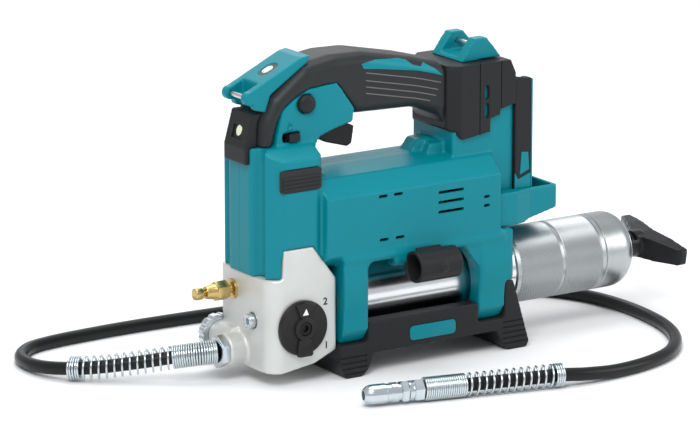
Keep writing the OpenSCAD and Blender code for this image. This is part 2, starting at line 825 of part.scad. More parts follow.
module motor_can() {
    color(steel) difference() {
        cyl_x(-32, 22, 0, motor_z, can_r);
        cyl_x(-29, 19, 0, motor_z, can_r - 2);
        cyl_x(-33, 23, 0, motor_z, 6.5);
        for (a = [0:60:300]) translate([0, 0, motor_z]) rotate([a, 0, 0]) cyl_x(17, 24, 0, 15, 4);
    }
}

module motor_magnets() {
    color([0.3, 0.3, 0.32]) difference() {
        cyl_x(-24, 12, 0, motor_z, can_r - 2 - fit);
        cyl_x(-25, 13, 0, motor_z, 16.5);
        box([-30, -60, motor_z - 3], [20, 60, motor_z + 3]);
    }
}

// Wound rotor on its shaft
module motor_rotor() {
    color([0.72, 0.45, 0.25]) {
        cyl_x(gear_x0 - 1, 36, 0, motor_z, shaft_r);
        difference() {
            cyl_x(-22, 8, 0, motor_z, 15.8);
            for (a = [0:30:330]) translate([0, 0, motor_z]) rotate([a, 0, 0])
                box([-23, -1, 12.5], [9, 1, 17]);
        }
        cyl_x(8, 16, 0, motor_z, 8);
    }
}

module cooling_fan() {
    color(rubber) difference() {
        union() {
            cyl_x(28, 30, 0, motor_z, 21);
            cyl_x(28, 35, 0, motor_z, 5);
            for (a = [0:40:320]) translate([0, 0, motor_z]) rotate([a, 0, 0])
                box([29.5, -0.8, 4], [35, 0.8, 21]);
        }
        cyl_x(20, 40, 0, motor_z, shaft_r);
    }
}

// Bearing rings at the ends of the can and in the gearbox's nose
module motor_bearings() {
    color(steel) {
        for (x = [-32, 19]) difference() {
            cyl_x(x, x + 3, 0, motor_z, 6.5);
            cyl_x(x - 1, x + 4, 0, motor_z, shaft_r + fit);
        }
        difference() {
            cyl_x(case_nose, case_nose + 5, 0, motor_z, 9);
            cyl_x(case_nose - 1, case_nose + 6, 0, motor_z, output_r + fit);
        }
    }
}

// Outline of a spur gear; slack narrows each tooth, for backlash
function gear_outline(n, slack) = [for (i = [0:n - 1], k = [0:5]) let (
        pitch = gear_m * n / 2,
        full = 90 / n,
        radius = [pitch - 1.2 * gear_m, pitch - 0.2 * gear_m, pitch + 0.9 * gear_m,
            pitch + 0.9 * gear_m, pitch - 0.2 * gear_m, pitch - 1.2 * gear_m][k],
        turn = [-1.55, -1.02, -0.42, 0.42, 1.02, 1.55][k] * (full - slack / pitch * 57.3 / 2))
    radius * [cos(360 * i / n + turn), sin(360 * i / n + turn)]];

// A gear about X, with one tooth centre at angle phase from +Z
module gear_x(n, x0, x1, bore, phase, slack) {
    translate([x0, 0, 0]) rotate([0, 90, 0]) rotate([0, 0, phase]) difference() {
        linear_extrude(x1 - x0) polygon(gear_outline(n, slack));
        translate([0, 0, -1]) cylinder(h = x1 - x0 + 2, r = bore);
    }
}

module sun_gear() {
    color(steel) translate([0, 0, motor_z])
        gear_x(sun_n, gear_x0 + 0.5, gear_x0 + gear_w - 0.5, shaft_r, 180 + 180 / sun_n, 0.2);
}

module ring_gear() {
    inside = gear_m * (ring_n / 2);
    color(steel) translate([gear_x0, 0, motor_z]) rotate([0, 90, 0])
        linear_extrude(gear_w) difference() {
            circle(inside + 2.5);
            polygon(ring_hollow());
        }
}

// The ring's hollow is a gear outline with deeper, wider spaces
function ring_hollow() = [for (i = [0:ring_n - 1], k = [0:5]) let (
        pitch = gear_m * ring_n / 2,
        full = 90 / ring_n,
        radius = [pitch - 1.0 * gear_m, pitch - 0.2 * gear_m, pitch + 1.1 * gear_m,
            pitch + 1.1 * gear_m, pitch - 0.2 * gear_m, pitch - 1.0 * gear_m][k],
        turn = [-1.62, -1.18, -0.72, 0.72, 1.18, 1.62][k] * full)
    radius * [cos(360 * i / ring_n + turn), sin(360 * i / ring_n + turn)]];

module planet(i) {
    color(steel) translate([0, 0, motor_z]) rotate([120 * i, 0, 0]) translate([0, 0, planet_c])
        gear_x(planet_n, gear_x0 + 0.5, gear_x0 + gear_w - 0.5, 2.5 + fit, 0, 0.2);
}

module planet_1() { planet(0); }
module planet_2() { planet(1); }
module planet_3() { planet(2); }

carrier_x = gear_x0 - 1;
case_nose = carrier_x - 12;

module planet_carrier() {
    color(steel) {
        cyl_x(carrier_x - 5, carrier_x, 0, motor_z, planet_c + 5);
        cyl_x(cam_x - cam_w / 2 - 4, carrier_x - 4, 0, motor_z, output_r);
        for (i = [0:2]) translate([0, 0, motor_z]) rotate([120 * i, 0, 0])
            cyl_x(carrier_x - 1, gear_x0 + gear_w, 0, planet_c, 2.5);
    }
}

module gearbox_case() {
    color(cast) difference() {
        union() {
            cyl_x(case_nose + 5, gear_x0 + gear_w, 0, motor_z, case_r);
            cyl_x(case_nose, case_nose + 5, 0, motor_z, 14);
        }
        cyl_x(case_nose + 6.5, gear_x0, 0, motor_z, planet_c + 6);
        cyl_x(gear_x0, gear_x0 + gear_w + 1, 0, motor_z, gear_m * ring_n / 2 + 2.5);
        cyl_x(case_nose - 1, case_nose + 5, 0, motor_z, 9);
        cyl_x(case_nose - 1, case_nose + 7, 0, motor_z, output_r + 1);
    }
}

// Eccentric on the output shaft, drawn at the top of its throw
module drive_cam() {
    color(steel) difference() {
        cyl_x(cam_x - cam_w / 2, cam_x + cam_w / 2, 0, motor_z + cam_e, cam_r);
        cyl_x(cam_x - cam_w, cam_x + cam_w, 0, motor_z, output_r);
    }
}

// ---------------------------------------------------------------- pump

module plunger() {
    color(steel) {
        cyl_z(70, plunger_top - 1, cam_x, 0, plunger_r);
        cyl_z(plunger_top - 3, plunger_top, cam_x, 0, 8);
    }
}

module plunger_spring() {
    color(steel) difference() {
        cyl_z(84, plunger_top - 3, cam_x, 0, 8);
        cyl_z(83, plunger_top, cam_x, 0, 6.4);
    }
}

// ---------------------------------------------------------------- barrel

module barrel_tube() {
    color(chrome) difference() {
        cyl_x(spigot_x + 2, barrel_end - 2, 0, barrel_z, barrel_r);
        cyl_x(spigot_x, barrel_end, 0, barrel_z, barrel_r - barrel_wall);
    }
}

module barrel_sleeve() {
    color(steel) difference() {
        cyl_x(sleeve_x, barrel_end, 0, barrel_z, sleeve_r);
        cyl_x(sleeve_x - 1, barrel_end - 2, 0, barrel_z, barrel_r);
        cyl_x(sleeve_x - 1, barrel_end + 1, 0, barrel_z, barrel_r - barrel_wall);
        difference() {
            cyl_x(sleeve_groove - 1, sleeve_groove + 1, 0, barrel_z, sleeve_r + 1);
            cyl_x(sleeve_groove - 2, sleeve_groove + 2, 0, barrel_z, sleeve_r - 0.6);
        }
    }
}

// Domed end cap: a turned profile with a bore for the rod
module barrel_cap() {
    color(steel) translate([barrel_end, 0, barrel_z]) rotate([0, 90, 0]) rotate_extrude()
        polygon([[rod_r + fit, 8], [rod_r + fit, 30], [9, 30], [18, 29.4], [22.5, 28.5], [26, 26],
            [28.4, 22], [sleeve_r, 17], [sleeve_r, 0.8], [sleeve_r - 0.8, 0], [barrel_r - barrel_wall, 0],
            [22, 8]]);
}

piston_x = -84;
rod_end = barrel_end + 44;

module follower_rod() {
    color(steel) cyl_x(piston_x + 2, rod_end, 0, barrel_z, rod_r);
}

module follower_piston() {
    color(rubber) translate([piston_x, 0, barrel_z]) rotate([0, 90, 0]) rotate_extrude()
        polygon([[0, 0], [20, 0], [barrel_r - barrel_wall - 0.3, 3], [barrel_r - barrel_wall - fit, 12],
            [barrel_r - barrel_wall - fit, 18], [barrel_r - 4, 18], [20, 8], [rod_r, 8], [rod_r, 2], [0, 2]]);
}

module follower_spring() {
    color(steel) difference() {
        cyl_x(piston_x + 8, barrel_end + 8, 0, barrel_z, 15);
        cyl_x(piston_x, barrel_end + 20, 0, barrel_z, 13);
    }
}

module tee_handle() {
    x = barrel_end + 32;
    color(charcoal) difference() {
        union() {
            cyl_x(x, x + 20, 0, barrel_z, 10.5);
            translate([x + 22, 0, barrel_z]) rotate([9, 0, 0])
                for (side = [-1, 1]) hull() {
                    sphere(10, $fn = 32);
                    translate([8, side * (tee_l / 2 - 7.5), 0]) sphere(7.5, $fn = 32);
                }
        }
        cyl_x(x - 1, rod_end, 0, barrel_z, rod_r);
    }
}

// ---------------------------------------------------------------- hose

module hose() {
    line = spline(hose_points, 0, len(hose_points) - 1);
    color(rubber) sweep(line, hose_r, 10, outlet_way, -coupler_way);
}

// Where things on the coupler's axis go: along from the end of the hose's guard
module on_coupler_axis() {
    translate([coupler_from[0], coupler_from[1], guard_r]) rotate([0, 0, coupler_turn])
        rotate([0, 90, 0]) children();
}

// Anti-kink springs: one round the first spans, one in front of the coupler
module spring_guards() {
    line = spline(hose_points, 0, guard_spans);
    last = unit(hose_points[guard_spans + 1] - hose_points[guard_spans - 1]);
    color(steel) {
        difference() {
            sweep(line, guard_r, 12, outlet_way, last);
            sweep(concat([line[0] - outlet_way], line, [line[len(line) - 1] + last]),
                hose_r + 0.3, 12, outlet_way, last);
        }
        on_coupler_axis() difference() {
            cylinder(h = coupler_guard_l, r = guard_r);
            translate([0, 0, -1]) cylinder(h = coupler_guard_l + 2, r = hose_r + 0.3);
        }
    }
}

module coupler() {
    from = coupler_guard_l;
    color(chrome) on_coupler_axis() {
        translate([0, 0, from]) cylinder(h = 8, r = 8.5, $fn = 6);
        translate([0, 0, from + 7]) cylinder(h = 6, r = hose_r);
        translate([0, 0, from + 12]) cylinder(h = 6, r = 8.5, $fn = 6);
        translate([0, 0, from + 18]) difference() {
            union() {
                cylinder(h = 24, r = 7.4);
                translate([0, 0, 24]) cylinder(h = 4, r1 = 7.4, r2 = 6);
            }
            translate([0, 0, 12]) cylinder(h = 20, r = 3.4);
        }
    }
}

housing_left();
housing_right();
handle_grip();
nose_panel();
front_strap_bracket();
rear_strap_bracket();
front_strap_pin();
rear_strap_pin();
power_bezel();
power_button();
led_lens();
side_pads();
rear_cover();
battery_block();
battery_terminals();
battery_guard();
base_skid();
skid_inserts();
housing_screws();
pump_head();
outlet_cap();
head_bolts();
barrel_seal();
bleeder_body();
bleeder_stem();
outlet_nut();
selector_dial();
dial_screw();
coupler_holder();
trigger();
trigger_pin();
lock_off_button();
lock_slide();
trigger_switch();
controller_board();
motor_can();
motor_magnets();
motor_rotor();
cooling_fan();
sun_gear();
motor_bearings();
gearbox_case();
ring_gear();
planet_1();
planet_2();
planet_3();
planet_carrier();
drive_cam();
plunger();
plunger_spring();
barrel_tube();
barrel_sleeve();
barrel_cap();
follower_rod();
follower_piston();
follower_spring();
tee_handle();
hose();
spring_guards();
coupler();
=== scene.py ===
# %% [markdown]
# # A cordless grease gun
# The gun stands on the two feet of its skid, with its hose laid round it on the floor. Every piece here is
# made round a fixed frame: the working model of the same gun, whose parts and joints are already right.
# This lesson adds what such a model lacks: moulded edges, castings, springs, knurls and finishes.

# %% Load the frame
import json
import math

import bmesh
import bpy
from mathutils import Matrix, Vector


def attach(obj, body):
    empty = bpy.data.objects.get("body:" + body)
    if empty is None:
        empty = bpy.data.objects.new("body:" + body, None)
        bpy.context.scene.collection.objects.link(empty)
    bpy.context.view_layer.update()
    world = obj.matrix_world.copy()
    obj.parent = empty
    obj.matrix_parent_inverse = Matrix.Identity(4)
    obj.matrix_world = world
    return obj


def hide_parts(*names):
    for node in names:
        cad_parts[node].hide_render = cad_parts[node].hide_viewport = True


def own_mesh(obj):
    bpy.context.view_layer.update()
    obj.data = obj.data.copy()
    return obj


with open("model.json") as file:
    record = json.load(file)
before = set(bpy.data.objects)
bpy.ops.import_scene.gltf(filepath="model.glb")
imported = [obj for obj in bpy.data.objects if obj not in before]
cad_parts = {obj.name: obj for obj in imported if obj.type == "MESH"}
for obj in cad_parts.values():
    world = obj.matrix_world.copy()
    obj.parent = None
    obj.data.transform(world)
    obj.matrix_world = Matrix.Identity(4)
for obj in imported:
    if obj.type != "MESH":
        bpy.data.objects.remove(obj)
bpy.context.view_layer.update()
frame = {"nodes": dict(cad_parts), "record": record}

MM = 0.001
NODES = frame["nodes"]
BODY_OF = {node: body for body, group in frame["record"]["behaviour"]["bodies"].items() for node in group}
SLOT_OF = {part["node"]: part["material_slot"] for part in frame["record"]["subparts"]}

# %% [markdown]
# ## Camera, light and floor
# A long lens from a little above the bench keeps the gun's lines nearly parallel, as a catalogue view does.
# The camera comes first, because the hose has to lie inside what it sees.

# %% Camera
VIEW_AZIMUTH, VIEW_ELEVATION = math.radians(-33), math.radians(14.3)
VIEW_TARGET = Vector((-0.0496, 0, 0.109))
VIEW_DISTANCE = 3.346
LENS = 231.4

toward_camera = Vector((math.sin(VIEW_AZIMUTH) * math.cos(VIEW_ELEVATION),
                        -math.cos(VIEW_AZIMUTH) * math.cos(VIEW_ELEVATION),
                        math.sin(VIEW_ELEVATION)))
camera = bpy.data.objects.new("camera", bpy.data.cameras.new("camera"))
bpy.context.scene.collection.objects.link(camera)
camera.data.lens = LENS
camera.location = VIEW_TARGET + VIEW_DISTANCE * toward_camera
camera.rotation_mode = "QUATERNION"
camera.rotation_quaternion = (-toward_camera).to_track_quat("-Z", "Y")
camera.data.clip_start, camera.data.clip_end = 0.05, 100
bpy.context.scene.camera = camera
print("camera", [round(x, 3) for x in camera.location])


# %% Lights
def softbox(name, place, aim, size, power):
    """A square studio light at place, turned to shine at aim."""
    light = bpy.data.lights.new(name, "AREA")
    light.shape, light.size, light.energy = "SQUARE", size, power
    lamp = bpy.data.objects.new(name, light)
    lamp.location = place
    lamp.rotation_mode = "QUATERNION"
    lamp.rotation_quaternion = (Vector(aim) - Vector(place)).to_track_quat("-Z", "Y")
    bpy.context.scene.collection.objects.link(lamp)
    print(f"{name}: {power} W, {size} m wide")


softbox("key_light", (-1.2, -1.4, 2.0), (0, 0, 0.1), 1.1, 42)
softbox("fill_light", (1.9, -1.5, 1.1), (0, 0, 0.1), 1.3, 16)
softbox("top_light", (0.2, 0.3, 2.3), (0, 0, 0.1), 1.6, 26)
softbox("back_light", (0.9, 2.0, 1.4), (0, 0, 0.15), 1.2, 7)

world = bpy.data.worlds.new("studio")
bpy.context.scene.world = world
world.use_nodes = True
world.node_tree.nodes["Background"].inputs["Color"].default_value = (0.93, 0.96, 1, 1)
world.node_tree.nodes["Background"].inputs["Strength"].default_value = 0.62
bpy.context.scene.view_settings.view_transform = "Standard"

# %% [markdown]
# ## Shader sums
# A finish is easier to read as arithmetic than as a web of nodes. `Socket` wraps one output, so that
# `0.3 + 0.1 * grain` adds its Math nodes by itself, and `Finish.node` makes every other node.


# %% Finish and Socket
class Socket:
    """One output of a shader node, usable in sums."""

    def __init__(self, finish, out):
        self.finish, self.out = finish, out

    def maths(self, operation, *terms):
        return self.finish.node("ShaderNodeMath", {"operation": operation}, *terms)

    def __add__(self, other):
        return self.maths("ADD", self, other)

    def __sub__(self, other):
        return self.maths("SUBTRACT", self, other)

    def __rsub__(self, other):
        return self.maths("SUBTRACT", other, self)

    def __mul__(self, other):
        return self.maths("MULTIPLY", self, other)

    __radd__, __rmul__ = __add__, __mul__


class Finish:
    """A material with one Principled shader and the nodes that feed it."""

    def __init__(self, name):
        self.material = bpy.data.materials.new(name)
        self.material.use_nodes = True
        self.tree = self.material.node_tree
        self.shader = self.tree.nodes["Principled BSDF"]

    def feed(self, socket, value):
        if isinstance(value, Socket):
            self.tree.links.new(value.out, socket)
        elif value is not None:
            socket.default_value = value

    def node(self, kind, settings=None, *values, output=0, **named):
        """Any node: its settings first, then its sockets by order or by name."""
        made = self.tree.nodes.new(kind)
        for key, value in (settings or {}).items():
            if key == "stops":
                for stop, (place, shade) in zip(made.color_ramp.elements, value):
                    stop.position, stop.color = place, shade
            else:
                setattr(made, key, value)
        for key, value in list(enumerate(values)) + list(named.items()):
            self.feed(made.inputs[key.replace("_", " ") if isinstance(key, str) else key], value)
        return Socket(self, made.outputs[output])

    def set(self, **values):
        """Feeds the shader's own sockets."""
        for key, value in values.items():
            self.feed(self.shader.inputs[key.replace("_", " ")], value)
        return self

    def place(self, scale=(1, 1, 1), middle=(0, 0, 0)):
        """Object coordinates, counted from middle and stretched by scale."""
        here = self.node("ShaderNodeTexCoord", output="Object")
        moved = self.node("ShaderNodeVectorMath", {"operation": "SUBTRACT"}, here, middle)
        return self.node("ShaderNodeVectorMath", {"operation": "MULTIPLY"}, moved, scale)

    def noise(self, scale, detail=2, vector=None):
        return self.node("ShaderNodeTexNoise", None, Vector=vector or self.place(), Scale=scale,
                         Detail=detail)

    def shade(self, mask, low, high):
        """A colour between low and high, by a mask from 0 to 1."""
        return self.node("ShaderNodeMix", {"data_type": "RGBA"}, mask, None, None, None, None, None,
                         (*low, 1), (*high, 1), output=2)

    def relief(self, height, depth, strength=1):
        """A Bump node: depth is the height's real size in metres."""
        return self.node("ShaderNodeBump", None, Strength=strength, Distance=depth, Height=height)


# %% [markdown]
# ## Finishes
# Moulded plastic is never quite flat: the tool leaves a faint orange peel on glossy faces and a spark-eroded
# grain on matt ones. Castings are blasted, turned parts keep the lines of the tool, and plating is nearly a
# mirror. Each finish below is one of these, with its grain at its real size.


# %% Plastics and rubbers
def tint(shade, factor):
    return tuple(min(1, x * factor) for x in shade)


def moulded_plastic(name, shade, gloss, grain_size, grain_depth, wear=0.12):
    """Plastic with a grain: gloss is its roughness, and handling varies it slowly over the surface."""
    finish = Finish(name)
    grain = finish.noise(1 / grain_size, 3)
    patches = finish.noise(14, 4)
    colour = finish.shade(patches, tint(shade, 1 - wear), tint(shade, 1 + wear))
    return finish.set(Base_Color=colour, Roughness=gloss - 0.05 + 0.1 * patches, Specular_IOR_Level=0.2,
                      Normal=finish.relief(grain, grain_depth)).material


TEAL = (0.0, 0.19, 0.235)
CHARCOAL = (0.014, 0.015, 0.016)
teal_plastic = moulded_plastic("teal_plastic", TEAL, 0.36, 0.9 * MM, 0.008 * MM, wear=0.06)
charcoal_rubber = moulded_plastic("charcoal_rubber", (0.02, 0.022, 0.023), 0.4, 0.55 * MM, 0.03 * MM)
charcoal_plastic = moulded_plastic("charcoal_plastic", CHARCOAL, 0.46, 0.5 * MM, 0.035 * MM)
black_plastic = moulded_plastic("black_plastic", (0.012, 0.012, 0.013), 0.22, 1.2 * MM, 0.01 * MM)
grey_plastic = moulded_plastic("grey_plastic", (0.07, 0.07, 0.072), 0.4, 0.5 * MM, 0.02 * MM)
white_plastic = moulded_plastic("white_plastic", (0.84, 0.85, 0.84), 0.25, 1.5 * MM, 0.005 * MM, wear=0.03)
ferrite = moulded_plastic("ferrite", (0.05, 0.05, 0.055), 0.6, 0.4 * MM, 0.03 * MM)
circuit_board = moulded_plastic("circuit_board", (0.01, 0.09, 0.035), 0.35, 2 * MM, 0.02 * MM)
black_rubber = moulded_plastic("black_rubber", (0.011, 0.011, 0.011), 0.3, 0.8 * MM, 0.02 * MM)
white_print = moulded_plastic("white_print", (0.75, 0.77, 0.78), 0.4, 0.6 * MM, 0.01 * MM, wear=0.04)
# The ribs' rubber is much lighter than the grip's: a painted highlight along each rib, not the rubber's own
# colour.
rib_painted_highlight = moulded_plastic("rib_painted_highlight", (0.13, 0.13, 0.135), 0.45, 0.6 * MM, 0.01 * MM)
dial_plastic = moulded_plastic("dial_plastic", (0.018, 0.016, 0.016), 0.3, 1.1 * MM, 0.02 * MM)
black_print = moulded_plastic("black_print", (0.02, 0.02, 0.02), 0.5, 0.6 * MM, 0.01 * MM)


# %% Cast, plated and turned metals
def cast_metal(name, shade, roughness):
    """Blasted die casting: a coarse sparkle over broad cloudy patches."""
    finish = Finish(name)
    grit = finish.noise(1 / (0.7 * MM), 2)
    clouds = finish.noise(28, 5)
    colour = finish.shade(clouds, tint(shade, 0.86), tint(shade, 1.1))
    return finish.set(Base_Color=colour, Metallic=0.55, Roughness=roughness - 0.06 + 0.12 * grit,
                      Normal=finish.relief(grit, 0.05 * MM)).material


def plated_metal(name, shade, roughness, grain_size=1.5 * MM, depth=0.004 * MM):
    """Smooth plated or ground metal with faint handling marks."""
    finish = Finish(name)
    marks = finish.noise(1 / grain_size, 3)
    clouds = finish.noise(35, 3)
    colour = finish.shade(clouds, tint(shade, 0.9), tint(shade, 1.06))
    return finish.set(Base_Color=colour, Metallic=1.0, Roughness=roughness + 0.08 * marks,
                      Normal=finish.relief(marks, depth)).material


def turned_metal(name, shade, roughness, depth=0.01 * MM):
    """Metal turned on the barrel's axis: fine rings that vary along X."""
    finish = Finish(name)
    rings = finish.noise(1, 2, vector=finish.place(scale=(2600, 14, 14)))
    sheen = finish.noise(1, 2, vector=finish.place(scale=(160, 9, 9)))
    colour = finish.shade(sheen, tint(shade, 0.84), tint(shade, 1.1))
    return finish.set(Base_Color=colour, Metallic=1.0, Roughness=roughness - 0.05 + 0.14 * rings,
                      Normal=finish.relief(rings, depth)).material


cast_alloy = cast_metal("cast_alloy", (0.62, 0.63, 0.61), 0.5)
zinc_steel = plated_metal("zinc_steel", (0.6, 0.66, 0.69), 0.2)
bright_steel = plated_metal("bright_steel", (0.62, 0.62, 0.63), 0.24)
chrome_plate = plated_metal("chrome_plate", (0.78, 0.79, 0.8), 0.15, depth=0.001 * MM)
brass = plated_metal("brass", (0.6, 0.44, 0.17), 0.24)
copper_windings = plated_metal("copper_windings", (0.45, 0.17, 0.06), 0.35, 0.5 * MM, 0.05 * MM)
black_screw = plated_metal("black_screw", (0.03, 0.03, 0.032), 0.3)
satin_aluminium = turned_metal("satin_aluminium", (0.47, 0.49, 0.495), 0.3)
knurled_metal = plated_metal("knurled_metal", (0.4, 0.42, 0.425), 0.36)

lens = Finish("lens")
# The faint emission is a painted glow that brightens the lens; it lights nothing.
lens.set(Base_Color=lens.shade(lens.noise(300, 2), (0.86, 0.88, 0.6), (0.95, 0.96, 0.82)),
         Roughness=0.08, Emission_Color=(0.9, 1, 0.5, 1), Emission_Strength=0.12,
         Transmission_Weight=0.35)
lens = lens.material

FINISHES = {"teal_plastic": teal_plastic, "charcoal_rubber": charcoal_rubber,
            "charcoal_plastic": charcoal_plastic, "black_plastic": black_plastic,
            "grey_plastic": grey_plastic, "white_plastic": white_plastic, "lens": lens,
            "cast_alloy": cast_alloy, "zinc_steel": zinc_steel, "bright_steel": bright_steel,
            "chrome_plate": chrome_plate, "satin_aluminium": satin_aluminium, "brass": brass,
            "copper_windings": copper_windings, "ferrite": ferrite, "black_rubber": black_rubber,
            "black_screw": black_screw, "circuit_board": circuit_board}
for node, part in NODES.items():
    part.data.materials.clear()
    part.data.materials.append(FINISHES[SLOT_OF[node]])
print(len(FINISHES), "finishes on", len(NODES), "parts")

# %% Floor
floor_finish = Finish("floor")
floor_finish.set(Base_Color=floor_finish.shade(floor_finish.noise(3, 2), (0.83, 0.83, 0.83),
                                               (0.85, 0.85, 0.85)), Roughness=0.8)
bpy.ops.mesh.primitive_circle_add(vertices=64, radius=9, fill_type="NGON")
floor = bpy.context.object
floor.name = "floor"
floor.data.materials.append(floor_finish.material)
print("floor", floor.dimensions[0], "m across")

# %% [markdown]
# ## Working on a mesh
# Four helpers do most of the shaping. `merged` copies a part of the frame and joins its loose triangles.
# `moulded` sends a copy through a voxel remesh and a few rounds of smoothing, which rounds its edges and
# fills its inner corners as a mould does. `crisp` keeps flat faces and bevels only the sharp edges, for
# machined pieces. `carve` cuts openings afterwards, so that they stay clean.


# %% Piece helpers
def keep(mesh, name, stands_for, finish=None, body=None, slot=None):
    """Makes mesh a piece of the object, in place of the parts in stands_for."""
    stands_for = [stands_for] if isinstance(stands_for, str) else list(stands_for)
    piece = bpy.data.objects.new(name, mesh)
    bpy.context.scene.collection.objects.link(piece)
    slot = slot or SLOT_OF[stands_for[0]]
    mesh.materials.clear()
    mesh.materials.append(finish or FINISHES[slot])
    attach(piece, body or BODY_OF[stands_for[0]])
    if stands_for:
        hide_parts(*stands_for)
    print(f"{name}: {len(mesh.polygons)} faces, on {body or BODY_OF[stands_for[0]]}")
    return piece


def merged(*nodes):
    """One bmesh of the named parts, with doubled vertices joined."""
    bm = bmesh.new()
    for node in nodes:
        bm.from_mesh(NODES[node].data)
    bmesh.ops.remove_doubles(bm, verts=bm.verts, dist=0.002 * MM)
    return bm


def to_mesh(bm, name, smooth=True):
    mesh = bpy.data.meshes.new(name)
    bm.to_mesh(mesh)
    bm.free()
    if smooth:
        mesh.shade_smooth()
    return mesh


def mesh_of(holder):
    """The finished mesh of a holding object, which is then removed."""
    bpy.context.view_layer.update()
    shown = holder.evaluated_get(bpy.context.evaluated_depsgraph_get())
    result = bpy.data.meshes.new_from_object(shown)
    bpy.data.objects.remove(holder)
    return result


def with_modifiers(mesh, *modifiers):
    """A mesh after the named modifiers, each given as (kind, settings)."""
    holder = bpy.data.objects.new("holder", mesh)
    bpy.context.scene.collection.objects.link(holder)
    for kind, settings in modifiers:
        modifier = holder.modifiers.new(kind, kind)
        for key, value in settings.items():
            setattr(modifier, key, value)
    return mesh_of(holder)


def moulded(bm, name, voxel=1.2 * MM, rounds=6):
    """Rounds every edge and inner corner of a closed shape."""
    mesh = with_modifiers(
        to_mesh(bm, name),
        ("REMESH", {"mode": "VOXEL", "voxel_size": voxel}),
        ("SMOOTH", {"factor": 0.5, "iterations": rounds}))
    mesh.shade_smooth()
    print(f"{name}: {len(mesh.polygons)} faces at {voxel / MM:.1f} mm")
    return mesh


def block(bm, low, high, turn=None):
    """Adds a box between two corners, in millimetres; turn is applied about its middle."""
    low, high = Vector(low) * MM, Vector(high) * MM
    place = Matrix.Translation((low + high) / 2) @ (turn or Matrix()) @ Matrix.Diagonal((*(high - low), 1))
    return bmesh.ops.create_cube(bm, size=1, matrix=place)["verts"]


def rod(bm, start, end, radius, sides=32, radius_end=None):
    """Adds a cylinder or cone from start to end, in millimetres."""
    start, end = Vector(start) * MM, Vector(end) * MM
    turn = (end - start).to_track_quat("Z", "Y").to_matrix().to_4x4()
    return bmesh.ops.create_cone(
        bm, cap_ends=True, segments=sides, radius1=radius * MM,
        radius2=(radius if radius_end is None else radius_end) * MM, depth=(end - start).length,
        matrix=Matrix.Translation((start + end) / 2) @ turn)["verts"]


def prism(bm, corners, way):
    """Adds a prism: a flat outline of corners, drawn out by way, in millimetres."""
    face = bm.faces.new([bm.verts.new(Vector(corner) * MM) for corner in corners])
    grown = bmesh.ops.extrude_face_region(bm, geom=[face])["geom"]
    moved = [v for v in grown if isinstance(v, bmesh.types.BMVert)]
    bmesh.ops.translate(bm, vec=Vector(way) * MM, verts=moved)
    bmesh.ops.recalc_face_normals(bm, faces=bm.faces)


def slab(bm, outline, y0, y1):
    """A prism of an outline in X and Z, drawn out from y0 to y1."""
    prism(bm, [(x, y0, z) for x, z in outline], (0, y1 - y0, 0))


def beam(bm, outline, x0, x1):
    """A prism of an outline in Y and Z, drawn out from x0 to x1."""
    prism(bm, [(x0, y, z) for y, z in outline], (x1 - x0, 0, 0))


def pill(bm, low, high, axis, radius, segments=5):
    """Adds a box whose edges along one axis are rounded."""
    verts = block(bm, low, high)
    index = "XYZ".index(axis)
    edges = {e for v in verts for e in v.link_edges}
    long = [e for e in edges if abs((e.verts[0].co - e.verts[1].co).normalized()[index]) > 0.99]
    bmesh.ops.bevel(bm, geom=long, offset=radius * MM, offset_type="OFFSET", segments=segments, profile=0.5,
                    affect="EDGES", clamp_overlap=True, material=-1)


def carve(mesh, cutter, operation="DIFFERENCE"):
    """Cuts the closed shapes of a bmesh out of a mesh, or keeps what they share."""
    bmesh.ops.recalc_face_normals(cutter, faces=cutter.faces)
    tool = bpy.data.objects.new("tool", to_mesh(cutter, "tool", smooth=False))
    bpy.context.scene.collection.objects.link(tool)
    settings = {"operation": operation, "solver": "MANIFOLD", "object": tool}
    result = with_modifiers(mesh, ("BOOLEAN", settings))
    bpy.data.objects.remove(tool)
    return result


def crisp(bm, name, width=0.5, angle=28, segments=2, smooth_angle=40):
    """Bevels the sharp edges of a machined piece by width millimetres."""
    bmesh.ops.dissolve_limit(bm, angle_limit=math.radians(1), verts=bm.verts, edges=bm.edges)
    sharp = [e for e in bm.edges if e.is_manifold and e.calc_face_angle(0) > math.radians(angle)]
    bmesh.ops.bevel(bm, geom=sharp, offset=width * MM, offset_type="OFFSET", segments=segments, profile=0.5,
                    affect="EDGES", clamp_overlap=True, material=-1)
    mesh = to_mesh(bm, name)
    mesh.set_sharp_from_angle(angle=math.radians(smooth_angle))
    return mesh


# %% [markdown]
# ## Hose
# The hose is a fixed length of rubber-covered tube. It leaves the outlet nut straight ahead, sinks to the
# floor, runs round the back of the gun and returns to the coupler. Its line is a smooth curve through listed
# points, and a round curve object gives it its thickness.

# %% Hose line
HOSE_POINTS = [
    (-164, 5, 23), (-177, 10, 22), (-192, 20, 19.5), (-212, 34, 15.5), (-236, 51, 11.5),
    (-253, 66, 9.5), (-263, 84, 7.5), (-266, 104, 6), (-261, 126, 5.2), (-245, 143, 5),
    (-222, 150, 5), (-190, 153, 5), (-151, 154, 5), (-100, 152, 5), (-50, 148, 5), (0, 143, 5),
    (50, 134, 5), (100, 119, 5), (145, 97, 5), (178, 68, 5), (196, 34, 5), (202, -4, 5),
    (200, -42, 5), (192, -76, 5), (176, -105, 5), (152, -128, 5), (122, -141, 5), (90, -147, 5.5),
    (62, -147.5, 7.5), (42, -144, 9), (12.8, -137.3, 9), (-26.2, -128.3, 9), (-64.2, -119.5, 9)]
HOSE_RADIUS = 5 * MM
GUARD_SPANS = 5
COUPLER_GUARD_FROM = 29


def along(points, span, t):
    """A point on the smooth curve between points[span] and the next one."""
    a, b, c, d = (Vector(points[min(max(k, 0), len(points) - 1)]) * MM for k in range(span - 1, span + 3))
    return 0.5 * (2 * b + (c - a) * t + (2 * a - 5 * b + 4 * c - d) * t ** 2
                  + (3 * b - a - 3 * c + d) * t ** 3)


